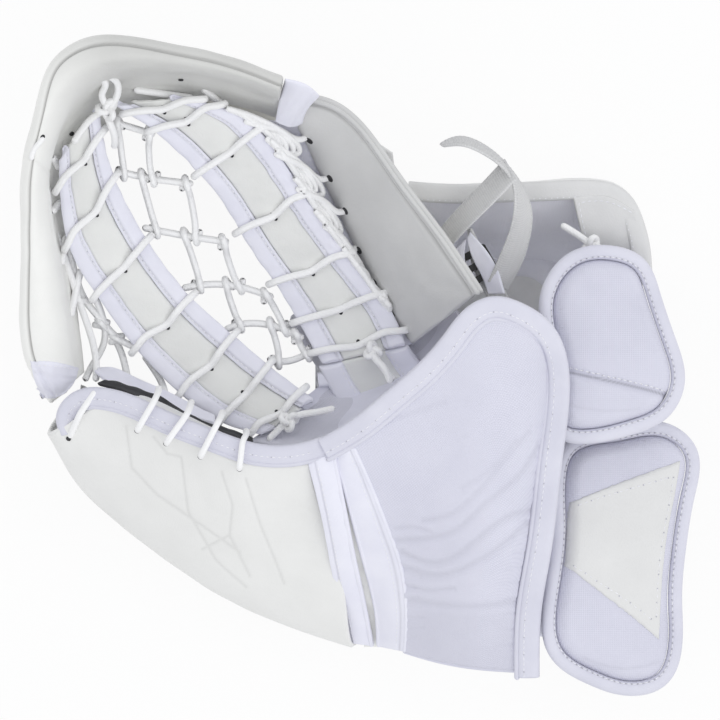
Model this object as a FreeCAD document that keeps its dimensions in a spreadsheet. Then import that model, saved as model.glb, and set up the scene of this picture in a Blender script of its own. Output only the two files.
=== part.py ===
import FreeCAD, Part
import math
import os
from FreeCAD import Placement, Rotation, Vector

# Goalie catch glove for the left hand, lying on its back with the palm up.
# X runs from the pocket rim to the cuff, Y from the thumb side to the finger side, Z up from the floor.
# The origin is on the floor, under the middle of the glove.

NOMINAL = {"glove_length": 400.0, "glove_width": 385.0, "glove_depth": 178.0}

SIZES = {
    "glove_length": (400, "pocket rim to the end of the cuff"),
    "glove_width": (385, "thumb side of the cuff to the finger tips"),
    "glove_depth": (178, "floor to the top of the pocket rim"),
    "leather": (2.2, "outer leather"),
    "liner": (1.4, "soft lining fabric"),
    "gap": (0.3, "clearance between layers"),
    "seam_gap": (0.2, "clearance between pieces sewn edge to edge"),
    "casing_ease": (0.8, "clearance behind the casing leather"),
    "foam_ease": (2.2, "clearance between the casing leather and its foam"),
    "casing_foam": (3.0, "foam behind the casing leather"),
    "back_foam": (8.0, "foam over the backs of the fingers"),
    "board": (2.0, "stiff board in the casing, thumb and cuff"),
    "palm_foam": (7.0, "foam behind the finger panel"),
    "thumb_foam": (9.0, "foam under the thumb leather"),
    "cuff_foam": (12.0, "foam under the cuff fabric"),
    "lace": (4.3, "lace diameter"),
    "lace_gap": (0.35, "clearance between a lace and what it passes over"),
    "strap_leather": (3.0, "pocket strap, leather strip thickness"),
    "strap_strip": (0.46, "leather strip, share of the strap width"),
    "strap_fabric": (4.2, "pocket strap, fabric border thickness"),
    "crosspiece_width": (15.0, "crosspiece at the heel of the pocket"),
    "binding": (11.5, "bound edge, visible width"),
    "binding_thick": (4.6, "bound edge, thickness"),
    "piping": (4.0, "piping diameter"),
    "edge_piping": (3.2, "finger panel piping diameter"),
    "strip_thick": (3.2, "bound strips beside the thumb slit"),
    "cuff_ease": (0.8, "clearance between the cuff's curved layers"),
    "flap_pad": (17.0, "flap padding thickness"),
    "flap_round": (5.0, "flap padding edge radius"),
    "flap_piping": (7.0, "piping round the flaps, diameter"),
    "patch_thick": (1.8, "leather patch thickness"),
    "upper_flap_tilt": (15.0, "fall of the upper flap to the cuff's end, degrees"),
    "lower_flap_tilt": (17.0, "fall of the lower flap to the cuff's end, degrees"),
    "webbing": (24.0, "wrist strap width"),
    "webbing_thick": (2.0, "wrist strap thickness"),
    "buckle_bar": (4.0, "slide buckle, bar width"),
    "buckle_slot": (3.5, "slide buckle, slot"),
    "buckle_thick": (3.4, "slide buckle, thickness"),
    "buckle_travel": (5.0, "slide buckle, travel each way along the strap"),
    "loop_thick": (1.2, "buckle loop fabric"),
    "back_pad_length": (150.0, "back of hand pad, along X"),
    "back_pad_width": (128.0, "back of hand pad, along Y"),
    "back_pad_thick": (12.0, "back of hand pad, thickness"),
    "back_pad_round": (18.0, "back of hand pad, corner radius"),
    "back_board_inset": (12.0, "back of hand board, inset from the pad's edge"),
    "stall_bore": (20.0, "finger stall, inside diameter"),
    "stall_wall": (1.5, "finger stall, wall"),
    "stall_length": (62.0, "finger stall, length"),
    "thumb_stall_bore": (25.0, "thumb stall, inside diameter"),
    "thumb_stall_length": (70.0, "thumb stall, length"),
    "cuff_side_thick": (4.0, "padded fabric side of the cuff"),
    "cuff_wall": (7.0, "back cuff, wall thickness"),
    "cuff_wall_height": (78.0, "back cuff, height of its wall"),
    "knot": (10.5, "lace knot diameter"),
}

doc = FreeCAD.newDocument("catch_glove")
sheet = doc.addObject("Spreadsheet::Sheet", "Sizes")
sheet.Label = "sizes"
for row, (alias, (value, note)) in enumerate(SIZES.items(), start=1):
    sheet.set(f"A{row}", note)
    sheet.set(f"B{row}", str(value))
    sheet.setAlias(f"B{row}", alias)
doc.recompute()

NODES = []
SEAM = 0.001  # tolerance where the faces of a layer are sewn together
FORWARD = 1  # both edges of a ruled face run the same way


def size(alias):
    return float(getattr(sheet, alias))


# ---- points and curves -----------------------------------------------------------------------------

STRETCH = Vector(
    size("glove_length") / NOMINAL["glove_length"],
    size("glove_width") / NOMINAL["glove_width"],
    size("glove_depth") / NOMINAL["glove_depth"],
)


MIDDLE = Vector(2.66, -0.7, 0)  # the middle of the outline, as its rails are given


def at(x, y, z=0.0):
    """A point of the glove's form, which follows the glove's length, width and depth."""
    return Vector((x - MIDDLE.x) * STRETCH.x, (y - MIDDLE.y) * STRETCH.y, z * STRETCH.z)


def rail(*corners):
    return [at(*corner) for corner in corners]


def spline(points, closed=False):
    curve = Part.BSplineCurve()
    curve.interpolate(Points=points, PeriodicFlag=closed)
    return curve


def along(points, count, start=0.0, end=1.0):
    """Evenly spaced points on the smooth curve through the points, from start to end of its length."""
    fine = spline(points).discretize(Number=201)
    picked = []
    for index in range(count):
        place = 200 * (start + (end - start) * index / (count - 1))
        low = min(int(place), 199)
        picked.append(fine[low] + (fine[low + 1] - fine[low]) * (place - low))
    return picked


def mix(first, second, share):
    return [a + (b - a) * share for a, b in zip(first, second)]


def raised(points, height):
    return [point + Vector(0, 0, height) for point in points]


def normals(grid):
    """Unit normals of a grid of points, one list for each rail, pointing up at the grid's middle."""
    rails, count = len(grid), len(grid[0])
    result = []
    for i in range(rails):
        row = []
        for j in range(count):
            across = grid[min(i + 1, rails - 1)][j] - grid[max(i - 1, 0)][j]
            onward = grid[i][min(j + 1, count - 1)] - grid[i][max(j - 1, 0)]
            row.append(across.cross(onward).normalize())
        result.append(row)
    highest = max(
        ((grid[i][j].z, i, j) for i in range(rails) for j in range(count)), key=lambda cell: cell[0]
    )
    if result[highest[1]][highest[2]].z < 0:
        result = [[normal * -1 for normal in row] for row in result]
    return result


def offset(grid, distance):
    """The same grid moved along its normals: a negative distance goes under the surface."""
    return [
        [point + normal * distance for point, normal in zip(points, directions)]
        for points, directions in zip(grid, normals(grid))
    ]


def surface(grid):
    if len(grid) == 2:
        grid = [grid[0], mix(grid[0], grid[1], 0.5), grid[1]]
    face = Part.BSplineSurface()
    face.interpolate(grid)
    return face


def borders(face):
    first_u, last_u, first_v, last_v = face.bounds()
    return [face.uIso(first_u), face.uIso(last_u), face.vIso(first_v), face.vIso(last_v)]


def slab(top, bottom):
    """A solid between two grids with the same number of points."""
    over, under = surface(top), surface(bottom)
    faces = [over.toShape(), under.toShape()]
    for high, low in zip(borders(over), borders(under)):
        faces.append(Part.makeRuledSurface(high.toShape(), low.toShape(), FORWARD))
    shell = Part.makeShell(faces)
    shell.sewShape(SEAM)
    solid = Part.makeSolid(shell)
    solid.fix(SEAM, SEAM, SEAM)
    return solid


def even(rails, count, across=None):
    """A grid through the rails whose points are evenly spaced along them and across them."""
    long = [along(points, count) for points in rails]
    if len(rails) < 3:
        return long
    across = across or 2 * len(rails) - 1
    columns = [along([points[j] for points in long], across) for j in range(count)]
    return [[column[i] for column in columns] for i in range(across)]


def layer(rails, depth, thickness, count=9, across=None):
    """A flexible layer that starts at a depth under the surface through the rails."""
    grid = even(rails, count, across)
    top = offset(grid, -depth) if depth else grid
    return slab(top, offset(grid, -depth - thickness))


def add(name, shape):
    node = doc.addObject("Part::Feature", name)
    node.Label = name
    node.Shape = shape
    NODES.append(node)
    return node


def group(shapes):
    return shapes[0] if len(shapes) == 1 else Part.makeCompound(shapes)


# ---- laces -----------------------------------------------------------------------------------------


def rounded_path(points):
    """Straight runs joined by tangent arcs, each as large as its two runs allow."""
    edges, start = [], points[0]
    for before, corner, after in zip(points, points[1:], points[2:]):
        back, onward = before - corner, after - corner
        turn = math.pi - back.getAngle(onward)
        cut = 0.45 * min(back.Length, onward.Length)
        enter = corner + back.normalize() * cut
        leave = corner + onward.normalize() * cut
        radius = cut / math.tan(turn / 2)
        middle = (back + onward).normalize()
        centre = corner + middle * (radius / math.cos(turn / 2))
        edges.append(Part.makeLine(start, enter))
        edges.append(Part.Arc(enter, centre - middle * radius, leave).toShape())
        start = leave
    edges.append(Part.makeLine(start, points[-1]))
    return Part.Wire(edges)


def cord(points, diameter):
    path = rounded_path(points) if len(points) > 2 else Part.Wire([Part.makeLine(points[0], points[1])])
    direction = (points[1] - points[0]).normalize()
    profile = Part.Wire([Part.makeCircle(diameter / 2, points[0], direction)])
    return path.makePipeShell([profile], True, False)


def lace(*corners, lift=0.0):
    return cord(raised(rail(*corners), lift), size("lace"))


def bar(points, width, thickness, count=9, up=None):
    """A flat strip along a curve, its width level unless up gives the direction of its thickness."""
    centre = along(points, count)
    rows = [[], [], [], []]
    for j, point in enumerate(centre):
        onward = centre[min(j + 1, count - 1)] - centre[max(j - 1, 0)]
        side = onward.cross(up or Vector(0, 0, 1)).normalize() * (width / 2)
        rise = side.cross(onward).normalize() * (thickness / 2)
        rows[0].append(point + side + rise)
        rows[1].append(point - side + rise)
        rows[2].append(point + side - rise)
        rows[3].append(point - side - rise)
    return slab(rows[:2], rows[2:])


# ---- PartDesign bodies -----------------------------------------------------------------------------


def plane_of(body, role):
    return next(item for item in body.Origin.OriginFeatures if item.Role == role)


def new_body(name):
    body = doc.addObject("PartDesign::Body", name)
    body.Label = name
    NODES.append(body)
    return body


def sketch_on(body, name, role="XY_Plane"):
    sketch = body.newObject("Sketcher::SketchObject", name)
    sketch.AttachmentSupport = [(plane_of(body, role), "")]
    sketch.MapMode = "FlatFace"
    return sketch


def rounded_box_sketch(sketch, length, width, radius, x=0.0, y=0.0):
    """A rectangle with round corners about the point x, y, whose sizes are expressions on the sheet."""
    sizes = {"long": sheet_value(length), "wide": sheet_value(width), "round": sheet_value(radius)}
    a, b, r = sizes["long"] / 2, sizes["wide"] / 2, sizes["round"]
    quarter = math.pi / 2
    centres = [(a - r, b - r), (r - a, b - r), (r - a, r - b), (a - r, r - b)]
    for index, (cx, cy) in enumerate(centres):
        centre = Vector(x + cx, y + cy, 0)
        circle = Part.Circle(centre, Vector(0, 0, 1), r)
        sketch.addGeometry(Part.ArcOfCircle(circle, index * quarter, (index + 1) * quarter), False)
    ends = []
    for index, (cx, cy) in enumerate(centres):
        for turn in (index, index + 1):
            ends.append(
                Vector(x + cx + r * math.cos(turn * quarter), y + cy + r * math.sin(turn * quarter), 0)
            )
    for index in range(4):
        sketch.addGeometry(Part.LineSegment(ends[2 * index + 1], ends[(2 * index + 2) % 8]), False)


def sheet_value(entry):
    return entry if isinstance(entry, (int, float)) else size(entry)


def highest_face(body):
    faces = body.Tip.Shape.Faces
    return f"Face{1 + max(range(len(faces)), key=lambda index: faces[index].CenterOfMass.z)}"


def pad(body, name, sketch, expression, reverse=False):
    feature = body.newObject("PartDesign::Pad", name)
    feature.Profile = sketch
    feature.setExpression("Length", expression)
    feature.Reversed = reverse
    return feature


# ---- main forms: rails of the glove's surfaces -----------------------------------------------------

RIM = rail(
    (-181, -21, 96), (-194, 0, 112), (-199, 40, 128), (-198, 84, 142), (-196, 119, 154), (-189, 153, 164),
    (-180, 178, 171), (-160, 191, 176), (-134, 193, 175), (-105, 188, 170), (-74, 181, 160),
    (-44, 170, 146),
)
CASING_INNER = rail(
    (-162, -4, 84), (-165, 13, 86), (-170, 40, 90), (-176, 75, 95), (-180, 107, 102), (-175, 133, 108),
    (-161, 150, 112), (-144, 158, 114), (-122, 161, 114), (-96, 161, 112), (-71, 157, 107), (-48, 150, 100),
)
PANEL_OUTER = rail(
    (-38, 157, 108), (-14, 154, 112), (8, 147, 118), (25, 122, 122), (47, 75, 128), (68, 43, 133),
)
PANEL_INNER = rail((-41, 141, 92), (-29, 126, 82), (-14, 103, 70), (0, 75, 62), (19, 42, 60), (36, 14, 68))
RIGHT_STRAP_IN = rail(
    (-144, 154, 120), (-122, 140, 112), (-99, 119, 100), (-80, 97, 86),
    (-64, 70, 74), (-50, 50, 68), (-35, 25, 64), (-22, 2, 66),
)
RIGHT_STRAP_OUT = rail(
    (-99, 158, 119), (-71, 149, 112), (-49, 129, 101), (-31, 101, 88),
    (-11, 73, 75), (4, 54, 69), (19, 35, 67), (28, 14, 70),
)
LEFT_STRAP_OUT = rail(
    (-176, 122, 112), (-175, 95, 104), (-170, 70, 97), (-154, 42, 88),
    (-132, 12, 80), (-109, -12, 76), (-84, -31, 76), (-57, -40, 82),
)
LEFT_STRAP_IN = rail(
    (-152, 152, 118), (-148, 129, 107), (-142, 110, 99), (-126, 79, 88),
    (-101, 45, 79), (-75, 21, 72.5), (-47.5, -2, 71), (-26, -18, 77),
)
THUMB_TOP = rail(
    (-166, -31, 112), (-159, -25, 118), (-148, -22, 124), (-133, -25, 130),
    (-112, -34, 135), (-90, -45, 139), (-67, -54, 142), (-29, -55, 144),
)
THUMB_LOW = rail(
    (-181, -34, 84), (-176, -46, 76), (-167, -63, 68), (-148, -84, 60),
    (-122, -104, 53), (-93, -124, 48), (-64, -140, 44), (-8, -162, 40),
)
THUMB_END = rail((-27, -56, 144), (-21, -80, 133), (-15, -110, 106), (-10, -138, 74), (-5, -162, 43))
SLIT_THUMB = rail((-16, -48, 144), (-10, -79, 132), (-4, -110, 106), (2, -138, 74), (7, -164, 42))
SLIT_CUFF = rail(
    (-15.2, -48, 145), (-7, -77, 133), (0, -104, 111), (6, -126, 88), (10, -146, 66), (11, -163, 48),
)
CUFF_LEFT = rail(
    (-2, -50, 148), (5, -66, 141), (15, -91, 127), (22, -110, 112), (26, -129, 95), (27, -150, 76),
    (26, -166, 60),
)
CUFF_TOP = rail(
    (-2, -50, 148), (18, -33, 150), (36, -18, 151), (52, 0, 152), (63, 19, 152), (77, 28, 151),
    (91, 24, 148),
    (104, 13, 141), (108, 2, 135),
)
CUFF_RIGHT = rail(
    (108, 2, 135), (108, -20, 125), (104, -53, 116), (98, -101, 104), (92, -136, 93), (92, -168, 82),
)
CUFF_LOW = rail((26, -166, 60), (48, -172, 68), (70, -174, 75), (92, -168, 82))


# ---- finger side -----------------------------------------------------------------------------------

ROLL = 7.0  # fall of the casing from its crest to its silhouette
CREST_IN = 0.30  # the crest, as a share of the way from the silhouette to the inner edge
WALL_FOOT = [18, 22, 26, 20, 14, 8, 4, 2, 2, 4, 8, 12]  # height of the wall's lower edge at each rim point


def casing_rails():
    crest, shoulder, slope, hip, wall, foot = [], [], [], [], [], []
    for edge, inner, low in zip(RIM, CASING_INNER, WALL_FOOT):
        way = inner - edge
        level = Vector(way.x, way.y, 0)
        drop = way.z
        shoulder.append(edge + level * 0.04 - Vector(0, 0, ROLL))
        crest.append(edge + level * CREST_IN)
        slope.append(edge + level * 0.66 + Vector(0, 0, drop * 0.42))
        hip.append(edge + level * 0.03 - Vector(0, 0, ROLL * 2.6))
        wall.append(edge + level * 0.13 - Vector(0, 0, (edge.z - low) * 0.5))
        foot.append(Vector(edge.x, edge.y, low * STRETCH.z) + level * 0.42)
    return [CASING_INNER, slope, crest, shoulder, hip, wall, foot]


CASING = casing_rails()
CASING_COUNT = 17
CASING_ROWS = 21  # rows of points across the casing, from its inner edge over the crest to its foot
CREST_ROW = 4  # the casing's foam ends before this row
WALL_ROW = 11  # the casing's board begins at this row


def inset(grid, first, last):
    """The grid from one row to another, without its end columns."""
    return [row[1:-1] for row in grid[round(first):round(last)]]


def make_casing():
    """The leather arch round the pocket, its foam on the palm side and its board in the outer wall."""
    grid = even(CASING, CASING_COUNT, CASING_ROWS)
    leather = size("leather")
    add("finger_casing", slab(grid, offset(grid, -leather)))
    for name, ease, thick, first, last in (
        ("casing_foam", size("foam_ease"), size("casing_foam"), 1, CREST_ROW),
        ("casing_board", size("casing_ease"), size("board"), WALL_ROW, CASING_ROWS - 1),
    ):
        depth = leather + ease
        face, back = offset(grid, -depth), offset(grid, -depth - thick)
        add(name, slab(inset(face, first, last), inset(back, first, last)))


PIPING_SEAT = 0.12  # place of the rim piping, as a share of the way from the silhouette to the inner edge


def make_rim_piping():
    seat = []
    for edge, inner in zip(RIM, CASING_INNER):
        way = Vector(inner.x - edge.x, inner.y - edge.y, 0)
        seat.append(edge + way * PIPING_SEAT + Vector(0, 0, 0.6))
    line = along(seat, 13, 0.02, 0.98)
    add("rim_piping", cord(raised(line, size("piping") / 2), size("piping")))


def make_finger_panel():
    leather, gap = size("leather"), size("gap")
    swell = [point + Vector(0, 0, 6) for point in mix(PANEL_INNER, PANEL_OUTER, 0.5)]
    rails = [PANEL_INNER, swell, PANEL_OUTER]
    add("finger_panel", layer(rails, 0, leather, 9))
    add("finger_panel_foam", layer(
        [mix(PANEL_INNER, swell, 0.2), swell, mix(swell, PANEL_OUTER, 0.85)],
        leather + gap, size("palm_foam"), 9,
    ))
    edge = []
    for inside, outside in zip(along(swell, 9), along(PANEL_OUTER, 9)):
        outward = Vector(outside.x - inside.x, outside.y - inside.y, 0).normalize()
        edge.append(outside + outward * (size("edge_piping") / 2 + gap + leather))
    add("finger_panel_piping", cord(edge, size("edge_piping")))


def make_finger_gusset():
    rails = [
        rail((-50, 164, 140), (-44, 146, 112)),
        rail((-42, 169, 142), (-39, 150, 116)),
        rail((-34, 165, 136), (-34, 152, 112)),
    ]
    add("finger_gusset", layer(rails, 0, size("liner"), 4))


def make_finger_back():
    """The shell over the backs of the fingers, which closes the finger side underneath."""
    rails = [
        rail((-146, 172, 8), (-110, 164, 4), (-60, 154, 3), (-10, 144, 5), (20, 127, 9)),
        rail((-142, 158, 4), (-104, 144, 2), (-56, 126, 1), (-8, 108, 1), (22, 98, 3)),
        rail((-120, 146, 12), (-90, 126, 8), (-46, 94, 4), (-10, 72, 3), (18, 66.6, 3)),
    ]
    thick, gap = size("leather"), size("gap")
    grid = even(rails, 7)
    add("finger_back_shell", slab([raised(row, thick) for row in grid], grid))
    inner = [raised(row[1:-1], thick + gap) for row in grid]
    add("finger_back_foam", slab([raised(row, size("back_foam")) for row in inner], inner))


# ---- pocket ----------------------------------------------------------------------------------------


def make_strap(side, inner, outer):
    """A pocket strap: a leather strip between two fabric borders."""
    share, gap = size("strap_strip"), size("seam_gap")
    first, second = (1 - share) / 2, (1 + share) / 2
    width = (outer[3] - inner[3]).Length
    joint = gap / width
    add(f"{side}_strap_leather", layer(
        [mix(inner, outer, first + joint), mix(inner, outer, second - joint)],
        0, size("strap_leather"), 11,
    ))
    borders = []
    for low, high in ((0.0, first), (second, 1.0)):
        rails = [mix(inner, outer, low), mix(inner, outer, high)]
        borders.append(layer([raised(points, 0.6) for points in rails], 0, size("strap_fabric"), 11))
    add(f"{side}_strap_borders", group(borders))


def wrap(inner, outer, shares):
    """A lace over a strap, down past both edges: its places on them are shares of their lengths."""
    half = size("lace") / 2
    a = along(inner, 101)[round(100 * shares[0])]
    b = along(outer, 101)[round(100 * shares[1])]
    level = (b - a).normalize()
    over = Vector(0, 0, half + 0.6 + size("lace_gap"))
    out = level * (half + size("lace_gap"))
    down = Vector(0, 0, size("strap_fabric") + half)
    start, end = a - out * 1.3, b + out * 1.3
    crown = (a + b) * 0.5 + over * 1.5
    return cord([start - down, start + over * 0.8, crown, end + over * 0.8, end - down], size("lace"))


# Where each wrapped lace crosses the inner and outer edges of its strap, as shares of their lengths.
RIGHT_WRAPS = [(0.05, 0.03), (0.14, 0.09), (0.33, 0.23), (0.55, 0.47), (0.73, 0.69), (0.86, 0.84), (0.96, 0.96)]
LEFT_WRAPS = [(0.07, 0.08), (0.20, 0.24), (0.39, 0.40), (0.58, 0.58), (0.73, 0.75), (0.85, 0.88), (0.96, 0.97)]


def make_straps():
    make_strap("right", RIGHT_STRAP_IN, RIGHT_STRAP_OUT)
    make_strap("left", LEFT_STRAP_IN, LEFT_STRAP_OUT)
    add("right_strap_lacing", group([wrap(RIGHT_STRAP_IN, RIGHT_STRAP_OUT, pair) for pair in RIGHT_WRAPS]))
    add("left_strap_lacing", group([wrap(LEFT_STRAP_IN, LEFT_STRAP_OUT, pair) for pair in LEFT_WRAPS]))
    line = rail((-30, -8, 62.5), (-12, -5, 62.3), (4, 2, 62.3), (16, 8, 63))
    add("heel_crosspiece", bar(line, size("crosspiece_width"), size("strap_fabric")))


MESH_ROWS = [
    rail((-144, 144, 108), (-131, 141, 105), (-121, 137, 106)),
    rail((-141, 115, 93), (-122, 112, 88), (-99, 108, 90)),
    rail((-125, 82, 82), (-99, 77, 74), (-78, 74, 72)),
    rail((-102, 47, 73), (-88, 49, 66), (-72, 48, 62), (-52, 42, 62)),
    rail((-77, 23, 67), (-66, 26, 60), (-48, 24, 58), (-34, 18, 60)),
    rail((-52, 5, 64), (-42, 4, 59), (-29, 9, 60)),
]
# Each upright lace of the mesh: the row that it leaves, its place in plan there, then the same below.
MESH_DROPS = [
    (0, (-141, 144), 1, (-137, 115)), (0, (-122, 138), 1, (-120.5, 112)),
    (1, (-127, 114), 2, (-118, 82)), (1, (-101, 109), 2, (-96, 77)),
    (2, (-102, 79), 3, (-93, 49)), (2, (-79, 75), 3, (-70, 48)),
    (3, (-78, 49), 4, (-70, 27)), (3, (-54, 44), 4, (-44, 23)),
    (4, (-52, 25), 5, (-47, 5)), (4, (-36, 20), 5, (-31, 8)),
]
OUTER_MESH = [
    rail((-155, 40, 78), (-166, 36, 80)),
    rail((-133, 10, 72), (-148, 12, 74), (-162, 14, 78)),
    rail((-146, 28, 76), (-152, 8, 76), (-150, -6, 82)),
    rail((-164, 38, 76), (-156, 18, 70), (-142, -2, 72), (-130, -10, 82)),
]


MESH_LAP = 0.36  # half the height between crossing laces, in lace diameters: they pull into each other
MESH_PAST = 2.6  # how far an upright lace runs past the rows at its ends


def nearest(points, x, y):
    """The point of a dense row nearest in plan to a place."""
    spot = at(x, y)
    return min(points, key=lambda p: (p.x - spot.x) ** 2 + (p.y - spot.y) ** 2)


def make_mesh():
    """Rows of laces between the straps, with upright laces looped under them."""
    apart = size("lace") * MESH_LAP
    diameter = size("lace")
    add("mesh_cross_laces", group([cord(raised(row, apart), diameter) for row in MESH_ROWS]))
    rows = [along(row, 61) for row in MESH_ROWS]
    drops = []
    for upper, top, lower, low in MESH_DROPS:
        first, last = nearest(rows[upper], *top), nearest(rows[lower], *low)
        past = (last - first).normalize() * MESH_PAST
        middle = (first + last) * 0.5 - Vector(0, 0, 1.5)
        drops.append(cord(raised([first - past, middle, last + past], -apart), diameter))
    add("mesh_long_laces", group(drops))
    strands = [cord(row, diameter) for row in OUTER_MESH]
    add("outer_mesh", strands[0].fuse(strands[1:]))


# Where each short lace starts and ends, as shares of the lengths of the two edges that it joins.
FINGER_LACES = [(0.06, 0.20), (0.24, 0.32), (0.42, 0.44), (0.58, 0.57), (0.74, 0.70), (0.90, 0.83)]
LEFT_RIM_LACES = [(0.46, 0.02), (0.35, 0.12), (0.24, 0.22), (0.13, 0.32)]
RIGHT_RIM_LACES = [(0.70, 0.0), (0.84, 0.11)]


def edge_lace(first, second, shares, lift, sag=1.0):
    """A short lace from above one edge down past the other edge."""
    diameter = size("lace")
    start = first[round(100 * shares[0])] + Vector(0, 0, diameter / 2) + lift
    end = second[round(100 * shares[1])] - Vector(0, 0, size("strap_fabric") + diameter / 2)
    middle = (start + end) * 0.5 - Vector(0, 0, sag)
    return cord([start, middle, end], diameter)


def make_side_lacing():
    """Short laces from the right strap to the finger panel, and from both straps to the casing."""
    panel, casing = along(PANEL_INNER, 101), along(CASING_INNER, 101)
    right, left = along(RIGHT_STRAP_OUT, 101), along(LEFT_STRAP_OUT, 101)
    over = Vector(0, 0, size("lace_gap"))
    add("finger_lacing", group([
        edge_lace(panel, right, shares, Vector(2, 2, 0), sag=2.0) for shares in FINGER_LACES
    ]))
    add("rim_lacing", group(
        [edge_lace(casing, left, shares, over) for shares in LEFT_RIM_LACES]
        + [edge_lace(casing, right, shares, over + Vector(0, 2, 0)) for shares in RIGHT_RIM_LACES]
    ))


def knot(place, *tails):
    """A lace knot with its cut ends. The ball's seam is turned away from them."""
    ball = Part.makeSphere(size("knot") / 2, place, Vector(0.4, 0.5, -0.75))
    return ball.fuse([lace(*tail) for tail in tails])


def make_knots():
    add("top_knot", knot(at(-146, 154, 128), [(-148, 157, 129), (-156, 166, 133), (-160, 169, 140)]))
    add("heel_knots", group([
        knot(at(8, 10, 74.4), [(9.5, 7.5, 74.7), (14, 0, 76), (19, -6, 79)]),
        knot(at(-41, -29, 85.1), [(-37, -27, 86), (-28, -26, 87), (-18, -26, 88)]),
    ]))


# ---- palm and hand ---------------------------------------------------------------------------------


def make_palm():
    """The leather wall at the heel of the pocket, from under the straps up to the bound edge."""
    rails = [
        rail((-34, -24, 60), (-18, -36, 72), (-6, -40, 100), (-3, -36, 146.6)),
        rail((-14, -6, 54.4), (10, -14, 58), (28, -16, 90), (29, -9, 148.6)),
        rail((24, 20, 52), (44, 8, 58), (52, 4, 90), (54, 14, 149)),
        rail((26, 58, 52), (50, 42, 58), (64, 26, 90), (67, 30, 149)),
    ]
    add("palm_leather", layer(rails, 0, size("leather"), 6))
    add("palm_liner", layer(rails, size("leather") + size("gap"), size("liner"), 6))


def make_back_pad():
    pad_body = new_body("back_of_hand_pad")
    sketch = sketch_on(pad_body, "back_pad_outline")
    rounded_box_sketch(sketch, "back_pad_length", "back_pad_width", "back_pad_round")
    pad(pad_body, "back_pad_block", sketch, "sizes.back_pad_thick")
    doc.recompute()
    block, top = pad_body.Tip, highest_face(pad_body)
    edge = pad_body.newObject("PartDesign::Fillet", "back_pad_edge")
    edge.Base = (block, [top])
    edge.setExpression("Radius", "sizes.back_pad_thick * 0.4")
    pad_body.Placement = Placement(at(50, 2, 0), Rotation())

    board = new_body("back_of_hand_board")
    sketch = sketch_on(board, "back_board_outline")
    inset = 2 * size("back_board_inset")
    rounded_box_sketch(
        sketch, size("back_pad_length") - inset, size("back_pad_width") - inset, size("back_pad_round"),
    )
    pad(board, "back_board_block", sketch, "sizes.board")
    lift = size("back_pad_thick") + size("gap")
    board.Placement = Placement(at(50, 2, 0) + Vector(0, 0, lift), Rotation())


STALL_MOUTHS = [(48, 44), (29, 29), (10, 14), (-9, -1)]
STALL_TURN = 128.0  # direction of the fingers, degrees from the X axis
THUMB_MOUTH = at(-29, -92.5, 82)
THUMB_TURN = 156.0  # direction of the thumb, degrees from the X axis


def stall(place, bore, length, turn):
    wall = size("stall_wall")
    tube = Part.makeCylinder(bore / 2 + wall, length).cut(Part.makeCylinder(bore / 2, length - wall))
    direction = Vector(math.cos(math.radians(turn)), math.sin(math.radians(turn)), 0)
    tube.Placement = Placement(place, Rotation(Vector(0, 0, 1), direction))
    return tube


def make_stalls():
    height = sum(size(alias) for alias in ("back_pad_thick", "board", "gap", "gap", "stall_wall"))
    height += size("stall_bore") / 2
    add("finger_stalls", group([
        stall(at(x, y) + Vector(0, 0, height), size("stall_bore"), size("stall_length"), STALL_TURN)
        for x, y in STALL_MOUTHS
    ]))
    add("thumb_stall", stall(THUMB_MOUTH, size("thumb_stall_bore"), size("thumb_stall_length"), THUMB_TURN))


# ---- thumb side ------------------------------------------------------------------------------------


def thumb_rails():
    swell_high = [p + Vector(-0.5, -1, 7) for p in mix(THUMB_TOP, THUMB_LOW, 0.30)]
    swell_low = [p + Vector(-2, -4, 13) for p in mix(THUMB_TOP, THUMB_LOW, 0.68)]
    under = [p + Vector(16, 20, -18 if i else -8) for i, p in enumerate(THUMB_LOW)]
    return [THUMB_TOP, swell_high, swell_low, THUMB_LOW, under]


TIP_TAPER = [0.50, 0.68, 0.86, 1.0, 1.0, 1.0, 1.0]  # the thumb's back narrows to its tip


def make_thumb():
    leather, gap = size("leather"), size("gap")
    grid = even(thumb_rails(), 13, 11)
    add("thumb_panel", slab(grid, offset(grid, -leather)))
    depth = leather + gap
    inside = [row[1:-1] for row in offset(grid, -depth)[2:8]]
    padding = [row[1:-1] for row in offset(grid, -depth - size("thumb_foam"))[2:8]]
    add("thumb_foam", slab(inside, padding))
    depth += size("thumb_foam") + gap
    face = [row[2:-1] for row in offset(grid, -depth)[3:7]]
    add("thumb_board", slab(face, [row[2:-1] for row in offset(grid, -depth - size("board"))[3:7]]))
    wall = [
        [p + Vector(1, 4, -6) for p in THUMB_TOP],
        [p + Vector(4, 10, -34) for p in THUMB_TOP],
        [p + Vector(6, 4, -62) for p in THUMB_TOP],
    ]
    add("thumb_pocket_wall", layer(wall, 0, leather, 9))
    fold = size("gap") + size("leather")
    low = THUMB_LOW[1:]
    back = [
        [p + Vector(18, 23, -18 - fold) for p in low],
        [p + Vector(23, 40, -23) * share + Vector(2, 3, -2) for p, share in zip(low, TIP_TAPER)],
        [p + Vector(20, 60, -18) * share + Vector(4, 6, -2) for p, share in zip(low, TIP_TAPER)],
    ]
    add("thumb_back_shell", layer(back, 0, leather, 9))


def make_thumb_binding():
    line = rail(
        (-170, -36, 106), (-171, -26, 110), (-163, -16, 116), (-150, -14, 122), (-133, -18, 129),
        (-111, -28, 135), (-88, -39, 140), (-60, -49, 144), (-17.2, -45, 147),
    )
    add("thumb_binding", bar(line, size("binding"), size("binding_thick"), 13))
    lift = size("strip_thick")
    middle = raised(mix(THUMB_END, SLIT_THUMB, 0.5), lift + 1)
    rails = [raised(THUMB_END, lift), middle, raised(SLIT_THUMB, lift)]
    add("thumb_slit_strip", layer(rails, 0, size("strip_thick"), 8))


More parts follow.
